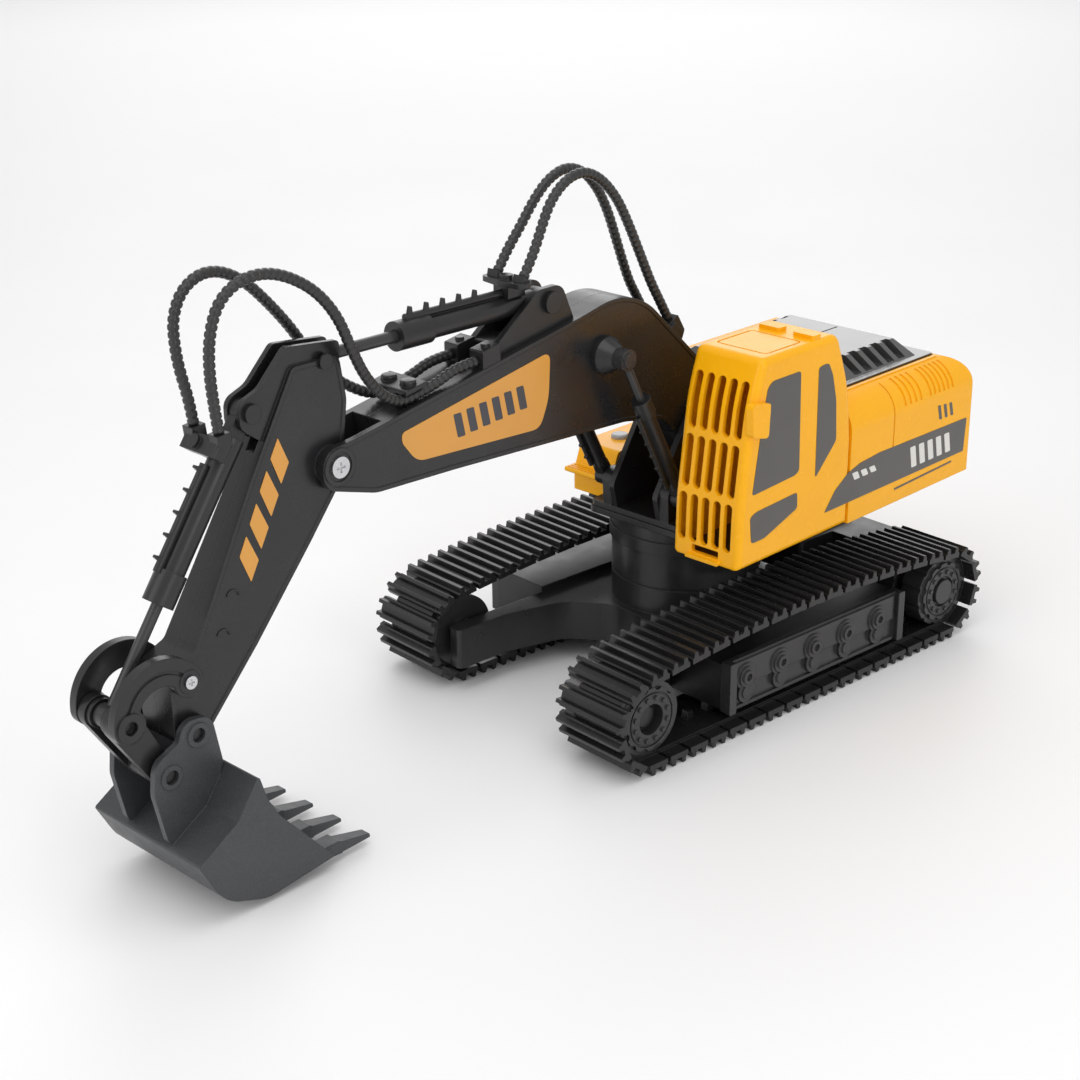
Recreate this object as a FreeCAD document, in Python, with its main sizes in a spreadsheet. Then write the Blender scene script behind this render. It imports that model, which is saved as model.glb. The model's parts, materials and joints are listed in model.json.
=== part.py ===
import FreeCAD, Part

import math
import os

import Sketcher

# Toy crawler excavator, modelled in millimetres.
# X points forward to the bucket, Y to the cab side and Z up.
# Every outline is drawn with X = 0 and Y = 0 on the slewing axis and Z = 0 on the ground; the
# placements then move the finished pieces so that the origin lies under the middle of the model.

Vector = FreeCAD.Vector

doc = FreeCAD.newDocument("toy_excavator")
sheet = doc.addObject("Spreadsheet::Sheet", "sizes")

# Driving dimensions, in millimetres and degrees.
DRIVING = {
    "origin_ahead": 70.7,  # model origin, ahead of the slewing axis
    "track_turn": -4.1,  # undercarriage against the house
    "wheel_ahead": 69.7,
    "axle_level": 16.7,
    "wheel_radius": 11.9,
    "belt_inside": 12.0,
    "belt_outside": 13.6,
    "belt_rise": 4.2,
    "ridge_height": 3.1,
    "pad_inner": 30.25,
    "pad_outer": 57.5,
    "beam_inner": 24.6,
    "beam_outer": 30.2,
    "beam_bottom": 8.0,
    "beam_top": 21.5,
    "drum_radius": 24.5,
    "drum_top": 42.6,
    "turn_gap": 0.15,
    "flange_radius": 25.3,
    "house_bottom": 51.7,
    "floor_top": 53.7,
    "wall": 1.6,
    "house_left": 49.3,
    "house_right": -37.2,
    "house_rear": -90.8,
    "hood_front": -21.6,
    "hood_top": 92.5,
    "cab_right": 23.1,
    "cab_top": 116.8,
    "box_left": -20.5,
    "box_top": 67.8,
    "boom_half": 8.0,
    "boom_wall": 1.6,
    "fork_half": 5.95,
    "plate_inner": 8.2,
    "plate_outer": 10.2,
    "eye_inner": 14.0,
    "eye_outer": 18.0,
    "stick_half": 6.6,
    "cheek_outer": 3.3,
    "slot_half": 1.75,
    "rod_eye_half": 1.6,
    "rocker_inner": 7.1,
    "rocker_outer": 9.8,
    "link_inner": 3.9,
    "link_outer": 6.9,
    "ear_inner": 8.0,
    "ear_outer": 10.0,
    "bucket_half": 23.3,
    "bucket_wall": 1.6,
    "fit_gap": 0.05,
    "hose_radius": 1.55,
}


class Size(float):
    """A number that remembers the spreadsheet formula it comes from."""

    def __new__(cls, value, text):
        made = super().__new__(cls, value)
        made.text = text
        return made

    def joined(self, other, value, sign, turned=False):
        first, second = formula(self), formula(other)
        if turned:
            first, second = second, first
        return Size(value, "(" + first + " " + sign + " " + second + ")")

    def __add__(self, other):
        return self.joined(other, float(self) + float(other), "+")

    __radd__ = __add__

    def __sub__(self, other):
        return self.joined(other, float(self) - float(other), "-")

    def __rsub__(self, other):
        return self.joined(other, float(other) - float(self), "-", turned=True)

    def __mul__(self, other):
        return self.joined(other, float(self) * float(other), "*")

    __rmul__ = __mul__

    def __neg__(self):
        return Size(-float(self), "(0 - " + self.text + ")")


def formula(value):
    """The spreadsheet formula of a size, or a plain number's own text."""
    if isinstance(value, Size):
        return value.text
    return "(" + repr(float(value)) + ")"


class Sizes:
    """The driving dimensions by name."""


size = Sizes()
for row, (name, value) in enumerate(DRIVING.items(), start=1):
    sheet.set("A" + str(row), name)
    sheet.set("B" + str(row), str(value))
    sheet.setAlias("B" + str(row), name)
    setattr(size, name, Size(value, "sizes." + name))
doc.recompute()


# Pins and pivots, as (ahead, level) in the plane of the boom.
BOOM_FOOT = (0.0, 82.0)
LIFT_FOOT = (22.0, 64.0)
LIFT_TOP = (49.5, 115.7)
STICK_PIN = (154.2, 107.9)
ARM_FOOT = (70.0, 135.5)
ARM_TOP = (154.5, 136.5)
CURL_FOOT = (178.7, 127.8)
ROCKER_PIN = (208.7, 64.6)
CROSS_PIN = (227.5, 58.3)
BUCKET_PIN = (207.6, 49.0)
LINK_PIN = (216.8, 40.2)


# --- outlines -----------------------------------------------------------------------------------


def circle(across, up, radius):
    return [("circle", (across, up), radius)]


def rounded(corners):
    """A closed outline through corners (across, up[, radius]), each rounded by its radius."""
    pieces = []
    count = len(corners)
    for i, corner in enumerate(corners):
        here = Vector(corner[0], corner[1], 0)
        before = Vector(*corners[i - 1][:2], 0) - here
        after = Vector(*corners[(i + 1) % count][:2], 0) - here
        before.normalize()
        after.normalize()
        radius = corner[2] if len(corner) > 2 else 0
        half = before.getAngle(after) / 2
        if radius <= 0 or abs(half - math.pi / 2) < 1e-4:
            pieces.append((here, here, None))
            continue
        reach = radius / math.tan(half)
        inward = (before + after).normalize()
        centre = here + inward * (radius / math.sin(half))
        middle = centre - inward * radius
        pieces.append((here + before * reach, here + after * reach, middle))
    loop = []
    for i, (start, end, middle) in enumerate(pieces):
        if middle is not None:
            loop.append(("arc", start, middle, end))
        onward = pieces[(i + 1) % count][0]
        if (onward - end).Length > 1e-6:
            loop.append(("line", end, onward))
    return loop


def box(left, low, right, high, radius=0):
    corners = [(left, low), (right, low), (right, high), (left, high)]
    return rounded([corner + (radius,) for corner in corners])


def inset(corners, depth):
    """The outline moved inward by depth; corners run anticlockwise."""
    moved = []
    count = len(corners)
    for i, corner in enumerate(corners):
        here = Vector(*corner[:2], 0)
        back = here - Vector(*corners[i - 1][:2], 0)
        ahead = Vector(*corners[(i + 1) % count][:2], 0) - here
        back.normalize()
        ahead.normalize()
        side_back = Vector(-back.y, back.x, 0)
        side_ahead = Vector(-ahead.y, ahead.x, 0)
        spread = 1 + side_back.dot(side_ahead)
        there = here + (side_back + side_ahead) * (depth / spread)
        convex = back.x * ahead.y - back.y * ahead.x > 0
        radius = corner[2] if len(corner) > 2 else 0
        if radius > 0:
            radius = max(radius - depth if convex else radius + depth, 0.05)
        moved.append((there.x, there.y, radius))
    return moved


def hull(first, first_radius, second, second_radius):
    """The outline round two circles and the strip between them."""
    a, b = Vector(*first, 0), Vector(*second, 0)
    along = b - a
    lean = math.acos((first_radius - second_radius) / along.Length)
    heading = math.atan2(along.y, along.x)

    def at(centre, radius, angle):
        return centre + Vector(math.cos(angle), math.sin(angle), 0) * radius

    left, right = heading + lean, heading - lean
    return [
        ("line", at(a, first_radius, right), at(b, second_radius, right)),
        (
            "arc",
            at(b, second_radius, right),
            at(b, second_radius, heading),
            at(b, second_radius, left),
        ),
        ("line", at(b, second_radius, left), at(a, first_radius, left)),
        (
            "arc",
            at(a, first_radius, left),
            at(a, first_radius, heading + math.pi),
            at(a, first_radius, right),
        ),
    ]


def sector(centre, inner, outer, start, end):
    """A bent strip between two radii, from start to end in degrees."""
    middle = Vector(*centre, 0)

    def at(radius, degrees):
        angle = math.radians(degrees)
        return middle + Vector(math.cos(angle), math.sin(angle), 0) * radius

    half = (start + end) / 2
    return [
        ("arc", at(outer, start), at(outer, half), at(outer, end)),
        ("line", at(outer, end), at(inner, end)),
        ("arc", at(inner, end), at(inner, half), at(inner, start)),
        ("line", at(inner, start), at(outer, start)),
    ]


# --- pieces -------------------------------------------------------------------------------------


def upright(yaw=0.0):
    """A placement that only turns about the slewing axis."""
    place = FreeCAD.Placement()
    place.Rotation = FreeCAD.Rotation(Vector(0, 0, 1), yaw)
    place.Base = Vector(-float(size.origin_ahead), 0, 0)
    return place


def along(foot, top):
    """A placement whose Z axis runs from one pin to another; -X is its upper or outer side."""
    lean = math.degrees(math.atan2(top[0] - foot[0], top[1] - foot[1]))
    place = FreeCAD.Placement()
    place.Rotation = FreeCAD.Rotation(Vector(0, 1, 0), lean)
    place.Base = Vector(foot[0] - float(size.origin_ahead), 0, foot[1])
    return place


def distance(first, second):
    return math.hypot(second[0] - first[0], second[1] - first[1])


HOUSE = upright()
TRACKS = upright(float(size.track_turn))
LIFT_AXIS = along(LIFT_FOOT, LIFT_TOP)
ARM_AXIS = along(ARM_FOOT, ARM_TOP)
CURL_AXIS = along(CURL_FOOT, CROSS_PIN)

made = []


class Piece:
    """One sub-part: a body built from sketches on its own origin planes.

    Outlines on "XY" are (x, y), on "XZ" (x, z) and on "YZ" (y, z). Every span runs from a lower
    to a higher value along the remaining axis.
    """

    def __init__(self, name, place=HOUSE):
        self.body = doc.addObject("PartDesign::Body", name)
        self.body.Label = name
        self.body.AllowCompound = True
        self.body.Placement = place
        made.append(self.body)

    def sketch(self, plane, level, loops, shift=(0, 0)):
        drawn = self.body.newObject("Sketcher::SketchObject", self.body.Name + "_outline")
        for feature in self.body.Origin.OriginFeatures:
            if feature.Role == plane + "_Plane":
                drawn.AttachmentSupport = (feature, [""])
        drawn.MapMode = "FlatFace"
        offset = -level if plane == "XZ" else level
        drawn.AttachmentOffset = FreeCAD.Placement(
            Vector(shift[0], shift[1], float(offset)), FreeCAD.Rotation()
        )
        if isinstance(offset, Size):
            drawn.setExpression("AttachmentOffset.Base.z", offset.text)
        for loop in loops:
            for edge in loop:
                self.draw(drawn, edge)
        return drawn

    @staticmethod
    def draw(drawn, edge):
        if edge[0] == "line":
            drawn.addGeometry(Part.LineSegment(edge[1], edge[2]))
        elif edge[0] == "arc":
            drawn.addGeometry(Part.Arc(edge[1], edge[2], edge[3]))
        else:
            centre = Vector(edge[1][0], edge[1][1], 0)
            index = drawn.addGeometry(Part.Circle(centre, Vector(0, 0, 1), float(edge[2])))
            if isinstance(edge[2], Size):
                rule = drawn.addConstraint(Sketcher.Constraint("Radius", index, float(edge[2])))
                drawn.setExpression("Constraints[" + str(rule) + "]", edge[2].text)

    def feature(self, kind, plane, level, length, loops):
        drawn = self.sketch(plane, level, loops)
        built = self.body.newObject("PartDesign::" + kind, self.body.Name + "_" + kind.lower())
        built.Profile = drawn
        built.Length = float(length)
        if isinstance(length, Size):
            built.setExpression("Length", length.text)
        return built

    def pad(self, plane, low, high, *loops):
        """Material between two levels along the axis across the plane."""
        start = high if plane == "XZ" else low
        return self.feature("Pad", plane, start, high - low, loops)

    def cut(self, plane, low, high, *loops):
        """A hollow between two levels along the axis across the plane."""
        start = low if plane == "XZ" else high
        return self.feature("Pocket", plane, start, high - low, loops)

    def both(self, action, plane, low, high, *loops):
        """The same feature on the left and, mirrored, on the right."""
        action(plane, low, high, *loops)
        action(plane, -high, -low, *loops)

    def turn(self, plane, level, shift, profile, axis="V_Axis"):
        """A turned shape about an axis of the shifted sketch."""
        drawn = self.sketch(plane, level, [profile], shift)
        built = self.body.newObject("PartDesign::Revolution", self.body.Name + "_turned")
        built.Profile = drawn
        built.ReferenceAxis = (drawn, [axis])
        built.Angle = 360.0
        return built

    def edges(self, kind, radius, chosen):
        """Fillets or chamfers on the edges that chosen picks from the shape so far."""
        doc.recompute()
        last = self.body.Tip
        names = []
        for i, edge in enumerate(last.Shape.Edges, start=1):
            if chosen(edge):
                names.append("Edge" + str(i))
        built = self.body.newObject("PartDesign::" + kind, self.body.Name + "_" + kind.lower())
        built.Base = (last, names)
        if kind == "Fillet":
            built.Radius = radius
        else:
            built.Size = radius
        return built


def sided(side, low, high):
    """The span from low to high on the left, or its mirror image on the right."""
    if side > 0:
        return low, high
    return -high, -low


def straight_along(edge, axis):
    """Whether an edge is a straight line along the given axis."""
    if edge.Curve.TypeId != "Part::GeomLine":
        return False
    return abs(abs(edge.tangentAt(edge.FirstParameter).dot(axis)) - 1) < 1e-6


AXIS_X, AXIS_Y, AXIS_Z = Vector(1, 0, 0), Vector(0, 1, 0), Vector(0, 0, 1)


# --- undercarriage ------------------------------------------------------------------------------

FRAME_REAR, FRAME_FRONT = -46.8, 37.3
DRUM_CAVITY = 20.0
DRUM_SHELF = 30.0
HUB_RADIUS = 10.0
AXLE_RADIUS = 2.0


def chassis_frame():
    piece = Piece("chassis_frame", TRACKS)
    quarter = [
        (78, float(size.beam_outer), 1.5),
        (78, float(size.beam_inner), 1.5),
        (58, float(size.beam_inner), 16),
        (37, 19.5, 12),
        (27, 7, 10),
    ]
    front = [(x, -y, r) for x, y, r in quarter] + quarter[::-1]
    rear = [(-x, -y, r) for x, y, r in front]
    piece.pad("XY", size.beam_bottom, size.beam_top, rounded(front + rear))
    piece.pad("XY", size.beam_bottom, size.drum_top, circle(0, 0, size.drum_radius))
    run = box(FRAME_REAR, float(size.beam_bottom), FRAME_FRONT, 23.4)
    piece.both(piece.pad, "XZ", size.beam_outer, size.beam_outer + 21.8, run)
    piece.cut("XY", size.beam_bottom, DRUM_SHELF, circle(0, 0, DRUM_CAVITY))
    piece.cut("XY", DRUM_SHELF, size.drum_top, circle(0, 0, HUB_RADIUS + size.fit_gap))
    ahead, level = float(size.wheel_ahead), float(size.axle_level)
    for spot, radius in ((ahead, AXLE_RADIUS), (-ahead, AXLE_RADIUS + size.fit_gap)):
        bore = circle(spot, level, radius)
        piece.both(piece.cut, "XZ", size.beam_inner, size.beam_outer, bore)
    band = [circle(0, 0, size.drum_radius), circle(0, 0, size.drum_radius - 0.5)]
    piece.cut("XY", 30.5, 31.1, *band)
    return piece


def chassis_cover():
    piece = Piece("chassis_cover", TRACKS)
    piece.pad("XY", 6.2, size.beam_bottom, circle(0, 0, size.drum_radius))
    screws = []
    for quarter in range(4):
        angle = math.radians(45 + 90 * quarter)
        screws.append(circle(21.8 * math.cos(angle), 21.8 * math.sin(angle), 1.5))
    piece.cut("XY", 6.2, 7.0, *screws)
    return piece


def roller_cover(name, side):
    """The outer plate of a track frame, with its row of moulded rollers."""
    piece = Piece(name, TRACKS)
    inner = size.beam_outer + 21.8
    face = inner + 2

    def add(action, low, high, *loops):
        action("XZ", *sided(side, low, high), *loops)

    add(piece.pad, inner, face, box(FRAME_REAR, 7, FRAME_FRONT, 24.3, 0.8))
    for left in (FRAME_REAR, FRAME_FRONT - 3):
        add(piece.pad, face, face + 1.9, box(left, 7, left + 3, 24.3, 0.6))
    add(piece.pad, face, face + 0.7, box(FRAME_REAR + 4, 7.6, FRAME_FRONT - 4, 8.8, 0.3))
    add(piece.pad, face, face + 0.7, box(FRAME_REAR + 4, 15.0, FRAME_FRONT - 4, 23.4, 0.5))
    rollers = [29.2 - 15.8 * i for i in range(5)]
    steps = ((17.9, 4.4, 1.2), (17.9, 3.4, 1.8), (17.9, 2.3, 2.4), (12.6, 3.5, 1.3), (12.6, 2.1, 1.8))
    for up, radius, proud in steps:
        add(piece.pad, face, face + proud, *[circle(x, up, radius) for x in rollers])
    add(piece.cut, face + 1.6, face + 2.4, *[circle(x, 17.9, 1.2) for x in rollers])
    return piece


def track_loop(radius):
    """The closed path of the track at a radius about both wheels, arched along its top."""
    ahead, level = float(size.wheel_ahead), float(size.axle_level)
    low, high = level - radius, level + radius
    crown = high + float(size.belt_rise)
    return [
        ("line", Vector(-ahead, low, 0), Vector(ahead, low, 0)),
        (
            "arc",
            Vector(ahead, low, 0),
            Vector(ahead + radius, level, 0),
            Vector(ahead, high, 0),
        ),
        ("arc", Vector(ahead, high, 0), Vector(0, crown, 0), Vector(-ahead, high, 0)),
        (
            "arc",
            Vector(-ahead, high, 0),
            Vector(-ahead - radius, level, 0),
            Vector(-ahead, low, 0),
        ),
    ]


def track_point(travelled):
    """A point on the outside of the belt with its forward and outward directions, found from
    the distance travelled from the rear wheel along the ground, round the front and back."""
    ahead, level = float(size.wheel_ahead), float(size.axle_level)
    radius, rise = float(size.belt_outside), float(size.belt_rise)
    arch = (ahead**2 + rise**2) / (2 * rise)
    spread = math.asin(ahead / arch)
    if travelled < 2 * ahead:
        return Vector(travelled - ahead, level - radius, 0), Vector(1, 0, 0), Vector(0, -1, 0)
    travelled -= 2 * ahead
    if travelled < math.pi * radius:
        angle = travelled / radius - math.pi / 2
        middle = Vector(ahead, level, 0)
    elif travelled < math.pi * radius + 2 * arch * spread:
        angle = math.pi / 2 - spread + (travelled - math.pi * radius) / arch
        middle = Vector(0, level + radius + rise - arch, 0)
        radius = arch
    else:
        angle = math.pi / 2 + (travelled - math.pi * radius - 2 * arch * spread) / radius
        middle = Vector(-ahead, level, 0)
    outward = Vector(math.cos(angle), math.sin(angle), 0)
    return middle + outward * radius, Vector(-outward.y, outward.x, 0), outward


def track_stations(count):
    """Evenly spaced points round the belt, the first just ahead of the rear wheel."""
    ahead, rise = float(size.wheel_ahead), float(size.belt_rise)
    arch = (ahead**2 + rise**2) / (2 * rise)
    length = 2 * ahead + 2 * math.pi * float(size.belt_outside) + 2 * arch * math.asin(ahead / arch)
    return [track_point(0.25 + length * i / count) for i in range(count)]


def placed(outline, station):
    """A small outline drawn at a station of the track, across = forward and up = outward."""
    point, forward, outward = station
    corners = [point + forward * across + outward * up for across, up in outline]
    return rounded([(corner.x, corner.y) for corner in corners])


PAD_COUNT = 42


def track_belt(name, side):
    """A belt in one piece: band, outer pads with two ridges each and inner guide lugs."""
    piece = Piece(name, TRACKS)
    ridge = float(size.ridge_height)
    pad = [
        (-3.7, -0.5),
        (3.7, -0.5),
        (3.7, 1.1),
        (3.1, 1.3),
        (2.7, ridge),
        (1.5, ridge),
        (1.1, 1.2),
        (-1.1, 1.2),
        (-1.5, ridge),
        (-2.7, ridge),
        (-3.1, 1.3),
        (-3.7, 1.1),
    ]
    band = float(size.belt_outside - size.belt_inside)
    lug = [(-1.6, -band + 0.3), (1.6, -band + 0.3), (1.0, -band - 2.4), (-1.0, -band - 2.4)]
    stations = track_stations(PAD_COUNT)
    ring = [track_loop(float(size.belt_outside)), track_loop(float(size.belt_inside))]
    piece.pad("XZ", *sided(side, size.pad_inner + 4.75, size.pad_outer - 4.5), *ring)
    pads = [placed(pad, station) for station in stations]
    piece.pad("XZ", *sided(side, size.pad_inner, size.pad_outer), *pads)
    lugs = [placed(lug, station) for station in stations]
    middle = (size.pad_inner + size.pad_outer) * 0.5
    piece.pad("XZ", *sided(side, middle - 1.3, middle + 1.3), *lugs)
    return piece


def wheel(name, side, ahead, driven):
    """A double-disc track wheel; the front one turns on its axle, the rear one is driven."""
    piece = Piece(name, TRACKS)
    level = float(size.axle_level)
    middle = (size.pad_inner + size.pad_outer) * 0.5
    face = size.pad_outer - 3.3

    def add(action, low, high, *loops):
        action("XZ", *sided(side, low, high), *loops)

    add(piece.pad, size.pad_inner + 3, middle - 1.6, circle(ahead, level, size.wheel_radius))
    add(piece.pad, middle - 1.6, middle + 1.6, circle(ahead, level, 8.2))
    add(piece.pad, middle + 1.6, face - 1, circle(ahead, level, size.wheel_radius))
    add(piece.pad, face - 1, face, circle(ahead, level, 10.3))
    add(piece.pad, size.beam_outer + 0.2, size.pad_inner + 3, circle(ahead, level, 4.2))
    studs, notches, scallops = [], [], []
    for i in range(12):
        angle = math.radians(30 * i + 15)
        across, up = math.cos(angle), math.sin(angle)
        studs.append(circle(ahead + 6.9 * across, level + 6.9 * up, 0.8))
        notches.append(circle(ahead + 12.6 * across, level + 12.6 * up, 1.3))
        scallops.append(circle(ahead + 10.9 * across, level + 10.9 * up, 1.5))
    add(piece.cut, face - 1, face, *scallops)
    add(piece.cut, face - 0.5, face, circle(ahead, level, 8.9), circle(ahead, level, 8.3))
    add(piece.pad, face, face + 0.6, *studs)
    if driven:
        add(piece.cut, size.pad_inner + 3, face - 1, *notches)
        add(piece.cut, face - 1.2, face, circle(ahead, level, 5.4))
        add(piece.pad, face - 1.2, face + 0.6, circle(ahead, level, 4.3))
        add(piece.pad, 21.7, size.beam_outer + 0.2, circle(ahead, level, AXLE_RADIUS))
    else:
        add(piece.cut, face - 4, face, circle(ahead, level, 4.9))
        bore = circle(ahead, level, AXLE_RADIUS + size.fit_gap)
        add(piece.cut, size.beam_outer + 0.2, face - 4, bore)
    return piece


def idler_axles():
    piece = Piece("idler_axles", TRACKS)
    ahead, level = float(size.wheel_ahead), float(size.axle_level)
    seat = size.pad_outer - 7.3
    piece.both(piece.pad, "XZ", size.beam_inner, seat + 0.1, circle(ahead, level, AXLE_RADIUS))
    piece.both(piece.pad, "XZ", seat + 0.1, seat + 1.6, circle(ahead, level, 3.3))
    return piece


def drive_gearbox():
    piece = Piece("drive_gearbox", TRACKS)
    ahead, level = -float(size.wheel_ahead), float(size.axle_level)
    inner = float(size.beam_inner)
    piece.pad("XY", size.beam_bottom, size.beam_top, box(-77, -inner, -60.5, inner))
    piece.pad("XY", size.beam_top, 30, box(-77.4, -29.6, -59, 29.6, 2))
    piece.pad("XY", size.beam_top, 30, box(-62, -14, -42, 14, 2))
    ribs = [box(-75, y - 1.6, -44, y + 1.6, 1) for y in (-8.5, 8.5)]
    piece.pad("XY", 29.5, 31.8, *ribs)
    piece.cut("XZ", -22.0, 22.0, circle(ahead, level, 6.3))
    bore = circle(ahead, level, AXLE_RADIUS + size.fit_gap)
    piece.both(piece.cut, "XZ", 22.0, size.beam_inner, bore)
    return piece


def drive_motors():
    piece = Piece("drive_motors", TRACKS)
    ahead, level = -float(size.wheel_ahead), float(size.axle_level)
    piece.both(piece.pad, "XZ", 0.8, 20.4, circle(ahead, level, 6.2))
    piece.both(piece.pad, "XZ", 20.4, 21.6, circle(ahead, level, 3))
    return piece


def slew_motor():
    piece = Piece("slew_motor", TRACKS)
    piece.pad("XY", size.beam_bottom, 25, circle(0, 0, 9))
    piece.pad("XY", 25, 27.5, circle(0, 0, 3))
    return piece


# --- slewing house ------------------------------------------------------------------------------


def turntable():
    piece = Piece("turntable")
    low = size.drum_top + size.turn_gap
    piece.pad("XY", low, size.house_bottom, circle(0, 0, size.flange_radius))
    piece.pad("XY", DRUM_SHELF - 0.1, low, circle(0, 0, HUB_RADIUS))
    band = [circle(0, 0, size.flange_radius), circle(0, 0, size.flange_radius - 0.5)]
    piece.cut("XY", 47.0, 47.6, *band)
    return piece


def slew_retainer():
    piece = Piece("slew_retainer")
    piece.pad("XY", DRUM_SHELF - 2.1, DRUM_SHELF - 0.1, circle(0, 0, 13))
    return piece


def house_floor():
    piece = Piece("house_floor")
    wall = size.wall
    left, right = float(size.house_left - wall), float(size.house_right + wall)
    rear = float(size.house_rear + wall)
    outline = [
        (rear, right),
        (CAB_BOX_FRONT, right),
        (CAB_BOX_FRONT, float(size.box_left)),
        (26, float(size.box_left), 3),
        (26, float(size.cab_right)),
        (CAB_FRONT - float(wall), float(size.cab_right)),
        (CAB_FRONT - float(wall), left),
        (rear, left),
    ]
    piece.pad("XY", size.house_bottom, size.floor_top, rounded(outline))
    return piece


CAB_FRONT = 34.4
CAB_BOX_FRONT = 12.6


def boom_bracket():
    """Two upright plates that carry the boom, with the lugs of the lift cylinders."""
    piece = Piece("boom_bracket")
    floor = size.floor_top
    base = float(floor) + 2
    piece.pad("XY", floor, floor + 2, box(-19.5, -19.5, 25.5, 19.5, 2))
    plate = [
        (-16, base),
        (25, base),
        (27, base + 8, 4),
        (9.5, 91, 9),
        (-9.5, 91, 9),
        (-16, base + 6, 4),
    ]
    piece.both(piece.pad, "XZ", size.plate_inner, size.plate_outer, rounded(plate))
    x, z = LIFT_FOOT
    lug = [(x - 5, base), (25.4, base), (x + 4, z + 3.6, 3.5), (x - 4, z + 3.6, 3.5)]
    piece.both(piece.pad, "XZ", size.plate_outer, size.eye_inner - 0.1, rounded(lug))
    pin = circle(x, z, 1.5)
    piece.both(piece.pad, "XZ", size.eye_inner - 0.1, size.eye_outer + 0.4, pin)
    bore = circle(*BOOM_FOOT, 3.0)
    piece.both(piece.cut, "XZ", size.plate_inner, size.plate_outer, bore)
    return piece


def boom_foot_pin():
    piece = Piece("boom_foot_pin")
    piece.pad("XZ", -size.plate_outer, size.plate_outer, circle(*BOOM_FOOT, 3.0))
    piece.both(piece.pad, "XZ", size.plate_outer, size.plate_outer + 1.2, circle(*BOOM_FOOT, 4.2))
    return piece


CAB_SIDE = [
    (-21.6, 51.7),
    (34.4, 51.7, 1.0),
    (33.9, 70.0, 60),
    (29.6, 103.0, 60),
    (24.9, 116.8, 3),
    (-12.4, 116.8, 4),
    (-19.2, 99.0, 60),
    (-21.6, 81.0, 20),
]


def cab_shell():
    """The yellow cab: a thin shell with a barred front, roof bars and a grab handle."""
    piece = Piece("cab_shell")
    wall = size.wall
    right, left = size.cab_right, size.house_left
    piece.pad("XZ", right, left, rounded(CAB_SIDE))
    piece.edges("Fillet", 2.2, cab_long_edge)
    inner = inset(CAB_SIDE, float(wall))
    low = inner[0][1] - 4
    inner[0] = (inner[0][0], low)
    inner[1] = (inner[1][0], low)
    piece.cut("XZ", right + wall, left - wall, rounded(inner))
    under = box(-30, float(size.house_bottom), CAB_FRONT - float(wall), float(size.floor_top))
    piece.cut("XZ", right, left - wall, under)
    rows = ((57.0, 72.4), (74.2, 90.6), (92.4, 109.8))
    slots = []
    for low, high in rows:
        for column in range(5):
            across = 36.0 + 4.4 * (column - 2) - 0.5 * (100 - low) / 45
            slots.append(box(across - 1.5, low, across + 1.5, high, 1.45))
    piece.cut("YZ", 20.0, 40.0, *slots)
    piece.cut("YZ", 25.0, 40.0, box(30.9, 53.9, 41.3, 56.4, 0.4))
    piece.pad("YZ", 32.8, 35.8, box(29.4, 52.2, 42.2, 53.4, 0.4))
    top = size.cab_top
    piece.pad("XY", top - 0.5, top + 1.3, box(-5.4, 26.2, -1.2, 34.6, 1), box(-5.4, 39.4, -1.2, 47.6, 1))
    hatch = [box(2, 26.4, 20, 46, 2), box(2.6, 27, 19.4, 45.4, 1.4)]
    piece.cut("XY", top - 0.35, top, *hatch)
    tab = rounded([(24.0, 92.7, 1.2), (31.6, 94.6, 1.6), (32.2, 105.2, 1.6), (23.4, 103.6, 1.2)])
    piece.pad("XZ", left - 0.8, left + 1.9, tab)
    return piece


def cab_long_edge(edge):
    """The outer edges of the cab, apart from its bottom and the joint with the hood."""
    box_of = edge.BoundBox
    if box_of.YLength > 0.01:
        return False
    return box_of.ZMax > 60 and box_of.XMin > -21.5 or box_of.ZMin > 82


HOOD_ROUND = 10.5
SEAM_AHEAD = -45.1


def hood_section(depth, low):
    """The hood seen from behind, with large rounded shoulders."""
    left, right = float(size.house_left) - depth, float(size.house_right) + depth
    high = float(size.hood_top) - depth
    turn = HOOD_ROUND - depth
    return rounded([(right, low), (left, low), (left, high, turn), (right, high, turn)])


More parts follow.
